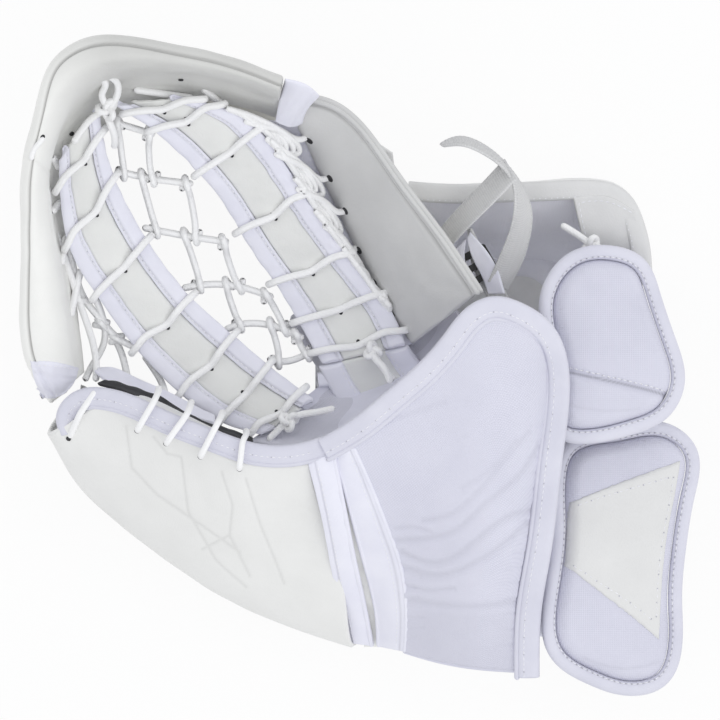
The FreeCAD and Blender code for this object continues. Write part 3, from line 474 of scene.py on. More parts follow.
class Nodes:
    """Short calls for building a material's nodes."""

    def __init__(self, name):
        self.material = bpy.data.materials.new(name)
        self.material.use_nodes = True
        self.tree = self.material.node_tree
        self.shader = self.tree.nodes["Principled BSDF"]

    def add(self, kind, **values):
        node = self.tree.nodes.new(kind)
        for key, value in values.items():
            setattr(node, key, value)
        return node

    def link(self, source, target):
        self.tree.links.new(source, target)

    def math(self, operation, first, second=None):
        node = self.add("ShaderNodeMath", operation=operation)
        for socket, value in zip(node.inputs, (first, second)):
            if isinstance(value, (int, float)):
                socket.default_value = value
            elif value is not None:
                self.link(value, socket)
        return node.outputs[0]

    def noise(self, scale, detail=3.0):
        node = self.add("ShaderNodeTexNoise")
        node.inputs["Scale"].default_value = scale
        node.inputs["Detail"].default_value = detail
        node.inputs["Roughness"].default_value = 0.55
        self.link(self.add("ShaderNodeTexCoord").outputs["Object"], node.inputs["Vector"])
        return node.outputs["Fac"]

    def ramp(self, factor, low, high, first=0.3, last=0.7):
        node = self.add("ShaderNodeValToRGB")
        node.color_ramp.elements[0].position, node.color_ramp.elements[0].color = first, (*low, 1)
        node.color_ramp.elements[1].position, node.color_ramp.elements[1].color = last, (*high, 1)
        self.link(factor, node.inputs["Fac"])
        return node.outputs["Color"]

    def shaded(self, colour, amount=0.45):
        """The colour, darker where the piece's own creases and seams are marked: painted shade in those
        creases and seams, read from the shade attribute.
        """
        mark = self.add("ShaderNodeAttribute", attribute_name="shade").outputs["Fac"]
        keep = self.math("SUBTRACT", 1.0, self.math("MULTIPLY", mark, amount))
        node = self.add("ShaderNodeVectorMath", operation="SCALE")
        self.link(colour, node.inputs[0])
        self.link(keep, node.inputs["Scale"])
        return node.outputs[0]

    def bump(self, height, strength, distance):
        node = self.add("ShaderNodeBump")
        node.inputs["Strength"].default_value = strength
        node.inputs["Distance"].default_value = distance
        self.link(height, node.inputs["Height"])
        self.link(node.outputs["Normal"], self.shader.inputs["Normal"])

    def threads(self, across, onward, slant=0.0):
        """Height of a weave: threads per metre across and along the piece's own surface."""
        spot = self.add("ShaderNodeUVMap", uv_map="weave").outputs["UV"]
        split = self.add("ShaderNodeSeparateXYZ")
        self.link(spot, split.inputs[0])
        u, v = split.outputs[0], split.outputs[1]
        if slant:
            v = self.math("ADD", v, self.math("MULTIPLY", u, slant))
        warp = self.math("ABSOLUTE", self.math("SINE", self.math("MULTIPLY", u, math.pi * across)))
        weft = self.math("ABSOLUTE", self.math("SINE", self.math("MULTIPLY", v, math.pi * onward)))
        return self.math("MULTIPLY", self.math("ADD", warp, 0.25), self.math("ADD", weft, 0.25))


def leather(name, low, high, roughness=0.46):
    made = Nodes(name)
    cloud = made.noise(26.0, 4.0)
    made.link(made.shaded(made.ramp(cloud, low, high)), made.shader.inputs["Base Color"])
    grain = made.add("ShaderNodeTexVoronoi")
    grain.inputs["Scale"].default_value = 900.0
    made.link(made.add("ShaderNodeTexCoord").outputs["Object"], grain.inputs["Vector"])
    fine = made.math("ADD", grain.outputs["Distance"], made.math("MULTIPLY", made.noise(160.0, 5.0), 1.6))
    made.bump(fine, 0.16, 0.0006)
    polish = made.math("ADD", made.math("MULTIPLY", made.noise(60.0, 3.0), 0.16), roughness - 0.08)
    made.link(polish, made.shader.inputs["Roughness"])
    made.shader.inputs["Specular IOR Level"].default_value = 0.42
    made.shader.inputs["Coat Weight"].default_value = 0.06
    made.shader.inputs["Coat Roughness"].default_value = 0.35
    return made.material


def cloth(name, low, high, across, onward, slant=0.0, strength=0.35, roughness=0.82, contrast=0.10):
    made = Nodes(name)
    weave = made.threads(across, onward, slant)
    cloud = made.noise(34.0, 4.0)
    plain = made.math("MULTIPLY", cloud, 1.0 - contrast)
    tone = made.math("ADD", plain, made.math("MULTIPLY", weave, contrast))
    made.link(made.shaded(made.ramp(tone, low, high, 0.28, 0.72)), made.shader.inputs["Base Color"])
    rough = made.math("ADD", made.math("MULTIPLY", made.noise(220.0, 2.0), 0.10), roughness - 0.05)
    made.link(rough, made.shader.inputs["Roughness"])
    made.bump(made.math("ADD", weave, made.math("MULTIPLY", made.noise(300.0, 3.0), 0.5)), strength, 0.0005)
    made.shader.inputs["Sheen Weight"].default_value = 0.18
    made.shader.inputs["Sheen Roughness"].default_value = 0.5
    made.shader.inputs["Specular IOR Level"].default_value = 0.25
    return made.material


TIGHT = 1400, 1400, 0.0, 0.22, 0.6  # a tight weave: threads per metre, slant, height and roughness
LEATHER = leather("white_leather", (0.855, 0.855, 0.83), (0.91, 0.91, 0.885))
# Painted shade: the finger panel is the same white leather, made darker for its shaded face.
PANEL_SHADED_LEATHER = leather("panel_leather_painted_shade", (0.60, 0.60, 0.597), (0.65, 0.65, 0.647))
# Painted shade: the thumb is the same white leather, made a little darker for the light on it.
THUMB_SHADED_LEATHER = leather("thumb_leather_painted_shade", (0.80, 0.80, 0.785), (0.85, 0.85, 0.835))
PATCH_LEATHER = leather("patch_leather", (0.70, 0.70, 0.695), (0.745, 0.745, 0.74))
# Painted shade: the palm, deep in the pocket, gets a darker lilac-grey for the shade that lies on it.
PALM_SHADE = cloth("palm_painted_shade", (0.62, 0.62, 0.70), (0.72, 0.72, 0.80), 900, 900, strength=0.3)
STRAP = leather("strap_leather", (0.76, 0.765, 0.75), (0.82, 0.825, 0.805), 0.42)
BACK_LEATHER = leather("back_leather", (0.80, 0.80, 0.795), (0.85, 0.85, 0.845))
BINDING = cloth("binding_fabric", (0.80, 0.80, 0.90), (0.87, 0.87, 0.95), *TIGHT)
CUFF = cloth("cuff_fabric", (0.655, 0.655, 0.76), (0.735, 0.735, 0.835), 700, 700, 1.0, 0.40, contrast=0.35)
FLAP = cloth("flap_fabric", (0.62, 0.62, 0.72), (0.70, 0.70, 0.80), 900, 900, strength=0.30, contrast=0.25)
LINING = cloth("lining_fabric", (0.72, 0.72, 0.82), (0.82, 0.82, 0.91), 1100, 1100, strength=0.3)
# Painted light: a paler copy of the lining fabric, for the cuff's inner lining and the back-of-hand pad,
# which stand in shade.
LIT_LINING = cloth("lining_fabric_painted_light", (0.88, 0.88, 0.95), (0.94, 0.94, 0.99), 1100, 1100, strength=0.3)
# Painted shade: a darker copy of the binding fabric, for the bound edges of thumb and cuff and the flaps'
# rolls.
EDGE_SHADED_FABRIC = cloth("edge_fabric_painted_shade", (0.655, 0.655, 0.75), (0.735, 0.735, 0.82), *TIGHT)
# Painted shade: a darker copy of the back leather, for the back cuff's top edge and its tab.
EDGE_SHADED_LEATHER = leather("edge_leather_painted_shade", (0.68, 0.68, 0.68), (0.74, 0.74, 0.74))
LACE = cloth("lace", (0.925, 0.925, 0.93), (0.965, 0.965, 0.965), 520, 420, 0.8, 0.30, 0.7)
THREAD = cloth("thread", (0.86, 0.86, 0.92), (0.92, 0.92, 0.95), 2500, 2500, strength=0.2)
WEBBING = cloth("webbing", (0.58, 0.58, 0.59), (0.70, 0.70, 0.70), 1500, 620, strength=0.45, contrast=0.35)
FOAM = cloth("foam", (0.70, 0.69, 0.64), (0.80, 0.79, 0.74), 500, 500, strength=0.4, roughness=0.9)
# Painted shade: the dark lilac-grey of the needle holes' discs.
NEEDLE_HOLE_SHADE = cloth("needle_hole_painted_shade", (0.50, 0.50, 0.56), (0.60, 0.60, 0.66), 700, 700, strength=0.4)


def plastic(name, low, high, roughness):
    made = Nodes(name)
    made.link(made.ramp(made.noise(80.0), low, high), made.shader.inputs["Base Color"])
    made.bump(made.noise(700.0, 4.0), 0.12, 0.0004)
    made.shader.inputs["Roughness"].default_value = roughness
    return made.material


BLACK = plastic("black_plastic", (0.012, 0.012, 0.014), (0.025, 0.025, 0.028), 0.38)
BOARD = plastic("board_plastic", (0.72, 0.72, 0.71), (0.80, 0.80, 0.79), 0.5)
# Painted shade: the near-black of lace holes and of the gap beside the thumb.
HOLE_SHADE = plastic("hole_painted_shade", (0.02, 0.02, 0.022), (0.05, 0.05, 0.055), 0.9)

# The solids that stay visible are foams, boards, the palm's liner and the buckle.
for name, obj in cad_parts.items():
    plain = (("foam", FOAM), ("board", BOARD), ("buckle", BLACK), ("liner", LINING))
    obj.data.materials.clear()
    obj.data.materials.append(next((material for part, material in plain if part in name), LEATHER))


# ---- the glove's main lines, in mm from its middle -------------------------------------------------

RIM = rail(
    (-181, -21, 96), (-194, 0, 112), (-199, 40, 128), (-198, 84, 142), (-196, 119, 154), (-189, 153, 164),
    (-180, 178, 171), (-160, 191, 176), (-134, 193, 175), (-105, 188, 170), (-74, 181, 160), (-44, 170, 146),
)
CASING_INNER = rail(
    (-162, -4, 84), (-165, 13, 86), (-170, 40, 90), (-176, 75, 95), (-180, 107, 102), (-175, 133, 108),
    (-161, 150, 112), (-144, 158, 114), (-122, 161, 114), (-96, 161, 112), (-71, 157, 107), (-48, 150, 100),
)
PANEL_OUTER = rail(
    (-36, 156, 108), (-15, 151, 113), (3, 135, 119), (22, 108, 124), (46, 76, 128), (68, 43, 133),
)
PANEL_INNER = rail((-36, 141, 92), (-29, 126, 82), (-18, 103, 71), (-5, 75, 63), (12, 42, 61), (31, 14, 66))
RIGHT_STRAP_IN = rail(
    (-144, 154, 120), (-122, 140, 112), (-99, 119, 100), (-80, 97, 86),
    (-64, 70, 74), (-50, 50, 68), (-35, 25, 64), (-22, 2, 66),
)
RIGHT_STRAP_OUT = rail(
    (-99, 158, 119), (-71, 149, 112), (-49, 129, 101), (-31, 101, 88),
    (-11, 73, 75), (4, 54, 69), (19, 35, 67), (28, 14, 70),
)
LEFT_STRAP_OUT = rail(
    (-176, 122, 112), (-175, 95, 104), (-170, 70, 97), (-154, 42, 88),
    (-132, 12, 80), (-109, -12, 76), (-84, -31, 76), (-57, -40, 82),
)
LEFT_STRAP_IN = rail(
    (-152, 152, 118), (-148, 129, 107), (-142, 110, 99), (-126, 79, 88),
    (-101, 45, 79), (-75, 21, 72.5), (-47.5, -2, 71), (-26, -18, 77),
)
THUMB_TOP = rail(
    (-166, -31, 112), (-159, -25, 118), (-148, -22, 124), (-133, -25, 130),
    (-112, -34, 135), (-90, -45, 139), (-67, -54, 142), (-29, -55, 144),
)
THUMB_LOW = rail(
    (-181, -34, 84), (-176, -46, 76), (-167, -63, 68), (-148, -84, 60),
    (-122, -104, 53), (-93, -124, 48), (-64, -140, 44), (-8, -162, 40),
)
THUMB_END = rail((-27, -56, 144), (-21, -80, 133), (-15, -110, 106), (-10, -138, 74), (-5, -162, 43))
SLIT_THUMB = rail((-16, -48, 144), (-10, -79, 132), (-4, -110, 106), (2, -138, 74), (7, -164, 42))
SLIT_CUFF = rail(
    (-15.2, -48, 145), (-7, -77, 133), (0, -104, 111), (6, -126, 88), (10, -146, 66), (11, -164, 48),
)
CUFF_LEFT = rail(
    (-4, -46, 149), (5, -66, 141), (15, -91, 127), (22, -110, 112), (26, -129, 95), (27, -150, 76),
    (26, -167, 60),
)
CUFF_TOP = rail(
    (-4, -46, 149), (16, -30, 150.5), (34.5, -15.5, 151.5), (50, 2, 152), (61.5, 20, 152), (77, 29, 151),
    (92, 25, 148), (105, 14, 141), (109, 3, 135),
)
CUFF_RIGHT = rail(
    (109, 3, 135), (109, -20, 125), (105, -53, 116), (98, -101, 104), (92, -138, 92), (92, -177.5, 80),
)
CUFF_LOW = rail((26, -167, 60), (48, -172.5, 68), (70, -176, 75), (92, -177.5, 80))
CUFF_HEM = rail((38, -122, 7.4), (56, -145, 7.4), (76, -152, 7.4), (98, -155, 7.4))
WALL_FOOT = [18, 22, 26, 20, 14, 8, 4, 2, 2, 4, 8, 12]
LACE_RADIUS = 2.15
LEATHER_THICK, THIN_LEATHER, TAPE_THICK, FABRIC_THICK = 2.2, 1.8, 1.6, 1.4


# ---- finger side -----------------------------------------------------------------------------------


def casing_rails():
    """The casing's cross-sections, row by row: inner edge, slope, crest, shoulder, hip, wall and foot."""
    crest, shoulder, slope, hip, wall, foot = [], [], [], [], [], []
    for index, (edge, inner, low) in enumerate(zip(RIM, CASING_INNER, WALL_FOOT)):
        way = inner - edge
        level = way * LEVEL
        flat = np.interp(index, (5, 7), (1, 0))
        shoulder.append(edge + level * 0.04 - step(0, 0, 7))
        crest.append(edge + level * 0.30)
        slope.append(edge + level * (0.66 + 0.15 * flat) + UP * way[2] * (0.42 - 0.20 * flat))
        hip.append(edge + level * 0.03 - step(0, 0, 18.2))
        wall.append(edge + level * 0.13 - UP * (edge[2] - low * MM) * 0.5)
        foot.append(np.array([edge[0], edge[1], low * MM]) + level * 0.42)
    return [CASING_INNER] + [np.array(row) for row in (slope, crest, shoulder, hip, wall, foot)]


CASING_TUCK = [2, 3, 4, 6, 9, 13, 15, 13, 9, 5, 4, 4]
CASING_COLUMNS = 236
# The casing's rolled edge and the crease inside it: how far they are from its outline, and their widths.
RIM_ROLL, RIM_ROLL_WIDTH = 2.2, 3.0
RIM_CREASE, RIM_CREASE_WIDTH = 5.2, 0.75
CASING_FOLDS = [
    ([(-150, 176), (-120, 178), (-92, 172)], 0.5, 2.2),
    ([(-118, 181), (-88, 174), (-58, 164)], 0.45, 1.6),
    ([(-104, 170), (-78, 166), (-56, 158)], 0.5, 1.8),
    ([(-186, 60), (-184, 100), (-180, 130)], 0.4, 3.0),
    ([(-192.5, 122), (-187, 120), (-181, 115)], 0.9, 0.9),
    ([(-192, -2), (-180, -5), (-166, -6)], 0.8, 1.2),
]
RIM_TIE = [(-185, 133.5), (-187.5, 130), (-189.5, 126), (-190.5, 121)]


def lace_holes(name, over, up, places, radius, lift):
    """Painted shade inside lace holes: dark discs at places in plan on a surface."""
    pile = Pile()
    for place in places:
        spot, way = seat(over, up, plan(place))
        disc(pile, spot[0], way[0], radius, lift)
    pile.piece(name, HOLE_SHADE, "hand", "leather")


def make_casing():
    pile = Pile()
    rails = casing_rails()
    inward = unit((CASING_INNER - RIM) * LEVEL)
    rails.insert(0, CASING_INNER + inward * np.array(CASING_TUCK)[:, None] * MM - step(0, 0, 10))
    tuck, crown, wall = np.linspace(0, 0.20, 40), np.linspace(0.20, 0.44, 110), np.linspace(0.44, 1, 50)
    grid = lattice(rails, np.concatenate([tuck[:-1], crown[:-1], wall]), CASING_COLUMNS)
    rim = along(RIM, CASING_COLUMNS)
    depth = flat_distance(grid, rim) / MM
    below = np.zeros(grid.shape[:2])
    lowest = np.argmin(depth, axis=0)
    below[np.arange(grid.shape[0])[:, None] > lowest[None, :]] = 1.0
    crease = np.exp(-(((depth - RIM_CREASE) / RIM_CREASE_WIDTH) ** 2)) * (1 - below)
    roll = np.clip(1 - ((depth - RIM_ROLL) / RIM_ROLL_WIDTH) ** 2, 0, 1) * (1 - below)
    seam = along(mix(RIM, CASING_INNER, 0.93), 200)
    relief = swell(grid, 80, 0.7, 3) + swell(grid, 26, 0.2, 4) + (roll * 0.7 - crease * 1.5) * MM
    press(relief, grid, CASING_FOLDS)
    relief += groove(grid, seam, 0.5, 1.2)
    # Painted shade: the casing is darker towards its top (beyond its far left), for the light that falls
    # less there, and darker along its rim crease.
    painted_top_shade = np.clip((grid[..., 1] / MM - 118) / 40, 0, 1) * np.clip((grid[..., 0] / MM + 186) / 40, 0, 1)
    over, up = shell(pile, grid, LEATHER_THICK, relief, np.clip(crease * 0.85 + painted_top_shade * 0.62, 0, 1))
    pile.piece("casing_cover", LEATHER, "hand", "leather", ("finger_casing", "rim_piping"), padded=0.6)

    lace_holes("casing_holes", over, up, [(-168, 137), (-104, 168), (-184.3, 134.6)], 1.5, 0.25)
    tie = Pile()
    line, _ = seat(over, up, along(plan(*RIM_TIE), 24), 0.9)
    tube(tie, along(line[::4], 30), 1.6, 9, flat=0.7)
    tie.piece("rim_tie", LACE, "hand", "lace")
    return over, up


PANEL_FOLDS = [([(48, 30), (30, 44), (22, 66)], 0.8, 5.0), ([(60, 46), (40, 54), (34, 70)], 0.6, 4.0)]
PANEL_HOLES = [(-29, 133), (-17, 111), (-8, 92), (0, 69), (9, 50), (19, 31)]
FILLING_THICK, FILLING_DEPTH = 9.0, 3.0  # the panel's filling, and how far under its leather it starts


def make_finger_panel():
    pile = Pile()
    middle = mix(PANEL_INNER, PANEL_OUTER, 0.5) + step(0, 0, 6)
    grid = lattice([PANEL_INNER, middle, PANEL_OUTER], 70, 160)
    relief = swell(grid, 90, 0.8, 11) + swell(grid, 30, 0.2, 12)
    marks = nearness(grid, along(mix(PANEL_INNER, PANEL_OUTER, 0.955), 160), 0.9)
    relief -= marks * 1.2 * MM
    press(relief, grid, PANEL_FOLDS)
    # Painted shade: the panel is darker along the seam groove near its outer edge.
    over, up = shell(pile, grid, LEATHER_THICK, relief, marks * 0.6)
    pile.piece("finger_panel_cover", PANEL_SHADED_LEATHER, "hand", "leather", ("finger_panel",), padded=0.5)

    bound = Pile()
    outer = along(PANEL_OUTER, 9)
    outward = unit((outer - along(middle, 9)) * LEVEL)
    for out, drop, radius in ((3.6, -0.6, 1.7), (1.4, 0.6, 1.5)):
        tube(bound, along(outer + outward * out * MM + step(0, 0, drop), 200), radius, 10)
    bound.piece("finger_panel_edge", PANEL_SHADED_LEATHER, "hand", "piping", ("finger_panel_piping",))

    filling = Pile()
    grid = lattice([mix(PANEL_INNER, middle, 0.2), middle, mix(middle, PANEL_OUTER, 0.84)], 40, 120)
    core = (grid - normals(grid) * np.sign(normals(grid)[..., 2:]) * FILLING_DEPTH * MM)[:, 2:-2]
    shell(filling, core, FILLING_THICK, np.zeros(core.shape[:2]))
    filling.piece("finger_panel_filling", FOAM, "hand", "foam", ("finger_panel_foam",))
    edge = outer + outward * 0.6 * MM
    rows = [edge - step(0, 0, 1.5), edge - step(0, 0, 9) + outward * 0.8 * MM, edge - step(0, 0, 17)]
    layer([lattice(rows, 24, 160)], THIN_LEATHER, (30, 0.4, 13), "finger_panel_side", PANEL_SHADED_LEATHER,
          padded=0.5)
    lace_holes("panel_holes", over, up, PANEL_HOLES, 2.4, 0.3)
    return over, up


def make_gusset():
    """The puffed gusset between casing and panel, and the hem along the panel's pocket side."""
    pile = Pile()
    rails = [
        rail((-43, 168, 143), (-46, 158, 126), (-49, 144, 106)),
        rail((-34, 166, 140), (-37, 157, 126), (-39, 141, 104)),
        rail((-23, 158.5, 124), (-28, 154, 119), (-33, 143, 102)),
    ]
    grid = lattice(rails, 60, 60)
    place = np.linspace(-1, 1, 60)
    puff = np.sqrt(np.clip(1 - place[:, None] ** 2, 0, 1)) * np.sqrt(np.clip(1 - place[None, :] ** 2, 0, 1))
    relief = (2.6 * puff + 0.35 * np.sin(place[:, None] * 9 + place[None, :] * 2) * puff) * MM
    shell(pile, grid, FABRIC_THICK, relief)
    pile.piece("finger_gusset_cover", BINDING, "hand", "binding_fabric", ("finger_gusset",))

    pile, thread = Pile(), Pile()
    inner, strap = along(PANEL_INNER, 60), along(RIGHT_STRAP_OUT, 60, 0.16, 1.0)
    near = mix(inner, strap, 0.55)
    near[:, 2] = np.minimum(inner[:, 2], strap[:, 2]) - 1.0 * MM
    grid = lattice([inner + step(1.5, 1.0, -1.0), near, strap + step(-1.5, -1.0, -4.0)], 30, 170)
    over, up = shell(pile, grid, THIN_LEATHER, swell(grid, 12, 0.35, 72))
    for row in (3, 7):
        stitches(thread, over[row, 6:-6], up[row, 6:-6], *HEM_SEAM)
    pile.piece("panel_hem", BINDING, "hand", "binding_fabric")
    thread.piece("panel_hem_stitches", THREAD, "hand", "lace")


def make_finger_back():
    rails = [
        rail((-146, 172, 8), (-110, 164, 4), (-60, 154, 3), (-10, 144, 5), (20, 127, 9)),
        rail((-142, 158, 4), (-104, 144, 2), (-56, 126, 1), (-8, 108, 1), (22, 98, 3)),
        rail((-120, 146, 12), (-90, 126, 8), (-46, 94, 4), (-10, 72, 3), (18, 66.6, 3)),
    ]
    grid = lattice(rails, 50, 110) + step(0, 0, LEATHER_THICK)
    layer([grid], LEATHER_THICK, (50, 0.3, 21), "finger_back_cover", BACK_LEATHER,
          stands_for=("finger_back_shell",))


# ---- pocket ----------------------------------------------------------------------------------------


STRAP_BORDER = 0.27  # each fabric edge's share of a strap's width
STRAP_CROWN = 0.46  # the share of the width over which the leather is crowned
STRAP_FACE_THICK, STRAP_EDGE_THICK = 3.0, 4.0
EDGE_PUFF = 2.3  # how high a strap's fabric edge is filled


def puffed(place):
    """The height of a filled strip at places from -1 to 1 across it, as a share of its crown."""
    return (1 - abs(place) ** 2.6) ** 0.6


def make_strap(side, inner, outer, bend):
    inner, outer = along(inner, 240), along(outer, 240)
    width = np.linalg.norm(outer - inner, axis=1) / MM
    across = unit(outer - inner)
    ahead = unit(np.gradient(inner + outer, axis=0))
    rise = unit(np.cross(across, ahead))
    rise *= np.sign(rise[:, 2:])

    face = Pile()
    rows = []
    for place in np.linspace(STRAP_BORDER - 0.02, 1 - STRAP_BORDER + 0.02, 28):
        off = abs(place - 0.5) * 2
        crown = 0.9 * (1 - off / STRAP_CROWN) ** 0.5 if off < STRAP_CROWN else 0.0
        rows.append(mix(inner, outer, place) + rise * crown * MM)
    grid = np.stack(rows)
    shell(face, grid, STRAP_FACE_THICK, swell(grid, 30, 0.25, 31) + swell(grid, 9, 0.08, 32))
    face.piece(f"{side}_strap_face", STRAP, "hand", "strap_leather", (f"{side}_strap_leather",), bend=bend)

    fabric, thread, needle = Pile(), Pile(), Pile()
    rows = np.linspace(0, 1, 22)
    for low, high, seam in ((0.0, STRAP_BORDER, 0.80), (1 - STRAP_BORDER, 1.0, 0.20)):
        grid = np.stack([
            mix(inner, outer, low + (high - low) * place)
            + rise * (EDGE_PUFF * puffed(2 * place - 1) + 0.1) * MM for place in rows
        ])
        gap = np.abs(rows[:, None] - seam) * (high - low) * width[None, :]
        # Painted shade: each fabric edge is darker along its stitched seam groove.
        marks = np.exp(-((gap / 0.8) ** 2))
        relief = swell(grid, 12, 0.22, 33) - marks * 0.7 * MM
        over, up = shell(fabric, grid, STRAP_EDGE_THICK, relief, marks * 0.35)
        row = int(round(seam * 21))
        stitches(thread, over[row, 4:-4], up[row, 4:-4], *STRAP_SEAM)
        needle_holes(needle, over[row, 4:-4], np.linspace(0.02, 0.98, 30), UP, 0.42, 0.18)
    borders = (f"{side}_strap_borders",)
    fabric.piece(f"{side}_strap_edges", BINDING, "hand", "binding_fabric", borders, bend=bend)
    thread.piece(f"{side}_strap_stitches", THREAD, "hand", "lace", bend=bend)
    needle.piece(f"{side}_strap_needle_holes", NEEDLE_HOLE_SHADE, "hand", "binding_fabric", bend=bend)


def wrap_path(inner, outer, pair, index):
    """A lace over a strap: up round one edge, down a little at the slit in its middle, round the other."""
    (a,), (b,) = pick(inner, [pair[0]]), pick(outer, [pair[1]])
    level = unit(b - a)
    aside = unit(np.cross(UP, level))
    aside *= -np.sign(aside[1])
    half = LACE_RADIUS
    crown = half + 2.4
    lean = 1.0 + 0.5 * math.sin(index * 2.3)

    def spot(share, height, sideways):
        return a + (b - a) * share + step(0, 0, height) + aside * sideways * MM

    points = [
        a - level * (half + 0.9) * MM - step(0, 0, 4.5), a - level * (half + 1.0) * MM + step(0, 0, 0.4),
        spot(0.05, crown * 0.9, 0.0), spot(0.17, crown, 0.2), spot(0.36, crown * 0.80, 1.1 * lean),
        spot(0.48, half * 0.75, 1.5 * lean), spot(0.53, half * 0.8, 1.2 * lean),
        spot(0.66, crown * 0.86, -0.1), spot(0.84, crown, -1.1 * lean), spot(0.95, crown * 0.9, -0.6),
        b + level * (half + 1.0) * MM + step(0, 0, 0.4), b + level * (half + 0.9) * MM - step(0, 0, 4.5),
    ]
    return along(points, 60), spot(0.5, 0, 1.35 * lean), aside


# Where each wrapped lace crosses the inner and outer edges of its strap, as shares of their lengths.
RIGHT_WRAPS = [
    (0.05, 0.03), (0.14, 0.09), (0.33, 0.23), (0.55, 0.47), (0.73, 0.69), (0.86, 0.84), (0.96, 0.96),
]
LEFT_WRAPS = [
    (0.07, 0.08), (0.20, 0.24), (0.39, 0.40), (0.58, 0.58), (0.73, 0.75), (0.85, 0.88), (0.96, 0.97),
]


def make_wraps(side, inner, outer, pairs, bend):
    inner, outer = along(inner, 240), along(outer, 240)
    pile, holes = Pile(), Pile()
    for index, pair in enumerate(pairs):
        path, middle, aside = wrap_path(inner, outer, pair, index)
        tube(pile, path, LACE_RADIUS, 12, flat=0.80, up=UP)
        for turn in (-1, 1):
            disc(holes, middle + aside * turn * 2.3 * MM + step(0, 0, 0.75), UP, 1.15, 0.25, 8)
    pile.piece(f"{side}_strap_laces", LACE, "hand", "lace", (f"{side}_strap_lacing",), bend=bend)
    holes.piece(f"{side}_strap_holes", HOLE_SHADE, "hand", "strap_leather", bend=bend)


MESH_ROWS = [
    rail((-144, 144, 108), (-131, 140, 105), (-121, 137, 106)),
    rail((-141, 115, 93), (-122, 111, 88), (-99, 108, 90)),
    rail((-125, 82, 82), (-99, 77, 74), (-78, 74, 72)),
    rail((-102, 47, 73), (-88, 49, 66), (-72, 48, 62), (-52, 42, 62)),
    rail((-77, 23, 67), (-66, 26, 60), (-48, 24, 58), (-34, 18, 60)),
    rail((-52, 5, 64), (-42, 4, 59), (-29, 9, 60)),
]
# Each upright lace of the mesh: the row that it leaves, its place in plan there, then the same below.
MESH_DROPS = [
    (0, (-141, 144), 1, (-137, 115)), (0, (-122, 138), 1, (-120.5, 112)),
    (1, (-127, 114), 2, (-118, 82)), (1, (-101, 109), 2, (-96, 77)),
    (2, (-102, 79), 3, (-93, 49)), (2, (-79, 75), 3, (-70, 48)),
    (3, (-78, 49), 4, (-70, 27)), (3, (-54, 44), 4, (-44, 23)),
    (4, (-52, 25), 5, (-47, 5)), (4, (-36, 20), 5, (-31, 8)),
]
OUTER_MESH = [
    rail((-182, 104, 101), (-180, 87, 94), (-174.5, 71, 90), (-169, 55, 87), (-163.5, 38, 84),
         (-158, 22, 81), (-154, 4, 80), (-154, -6, 84)),
    rail((-171, 76, 92), (-166.5, 56, 84), (-160.5, 40, 80), (-151, 28, 77), (-142, 18, 74), (-131, 12, 77)),
    rail((-154, 40, 84), (-149, 24, 76), (-150, 13, 72), (-156, 2, 74), (-160, -6, 82)),
    rail((-144, 19, 74), (-139, 8, 71), (-136, -4, 76), (-134, -12, 86)),
    rail((-125, 6, 74), (-117, -6, 72), (-113, -17, 84)),
]
# Where laces of the outer mesh turn round each other, and which way they run there.
OUTER_TURNS = [
    ((-164, 40, 83.5), (0.6, -1, 0)), ((-151, 26, 76.5), (1, -0.8, 0)), ((-142, 17, 74), (1, -0.4, 0)),
]


def hook(centre, way, aside, sign):
    """The points of a lace's turn round a crossing lace: way runs on along the lace itself."""
    return [
        centre + way * sign * 0.2 * MM + step(0, 0, 3.4), centre + way * sign * 3.4 * MM + aside * 0.5 * MM,
        centre + aside * 1.7 * MM - step(0, 0, 3.0),
        centre - way * sign * 2.6 * MM + aside * 3.0 * MM - step(0, 0, 1.2),
    ]


def nearest(points, place):
    """The point of a dense row nearest in plan to a place."""
    return points[np.argmin(np.linalg.norm(points[:, :2] - plan(place)[0, :2], axis=1))]


def make_mesh_laces():
    lift = step(0, 0, 0.8)
    cross, long = Pile(), Pile()
    rows = [along(row, 90) + lift for row in MESH_ROWS]
    for index, row in enumerate(rows):
        sway = np.sin(np.linspace(0, math.pi * 3, 90) + index) * 0.5 * MM
        tube(cross, row + sway[:, None] * UP, LACE_RADIUS * 0.95, 10)
    for index, (upper, top, lower, low) in enumerate(MESH_DROPS):
        first, last = nearest(rows[upper], top), nearest(rows[lower], low)
        way = unit((last - first) * LEVEL)
        aside = np.cross(way, UP) * (1 if index % 2 else -1)
        bow = aside * 0.9 * MM * math.sin(index * 1.7)
        path = hook(first, way, aside, -1)[::-1]
        path += [
            mix(first, last, 0.22) + step(0, 0, 0.6) + bow,
            mix(first, last, 0.55) - step(0, 0, 1.4) + bow * 1.5,
            mix(first, last, 0.84) + step(0, 0, 0.8) + bow,
        ]
        path += hook(last, way, -aside, 1)
        tube(long, along(path, 120), LACE_RADIUS * 0.93, 10)
    cross.piece("pocket_cross_laces", LACE, "hand", "lace", ("mesh_cross_laces",), bend=True)
    long.piece("pocket_long_laces", LACE, "hand", "lace", ("mesh_long_laces",), bend=True)

    outer = Pile()
    for index, row in enumerate(OUTER_MESH):
        tube(outer, along(row, 90) + step(0, 0, 1.5 - index), LACE_RADIUS * 0.95, 10)
    for spot, way in OUTER_TURNS:
        turn = unit(np.array(way, float))
        aside = np.cross(turn, UP)
        (centre,) = rail(spot)
        ring = hook(centre, turn, aside, 1) + hook(centre, turn, -aside, -1)[::-1]
        tube(outer, along(ring, 50), LACE_RADIUS * 0.85, 9)
    outer.piece("rim_side_laces", LACE, "hand", "lace", ("outer_mesh",), bend=True)


# Each lace of the finger side: the panel's hole, as its place in plan, and its share of the strap's edge.
FINGER_LACES = [
    ((-31, 134.5), 0.20), ((-18.7, 110.6), 0.335), ((-8.8, 91.3), 0.46), ((-1.5, 69.6), 0.60),
    ((9, 50), 0.735), ((19, 31), 0.86),
]
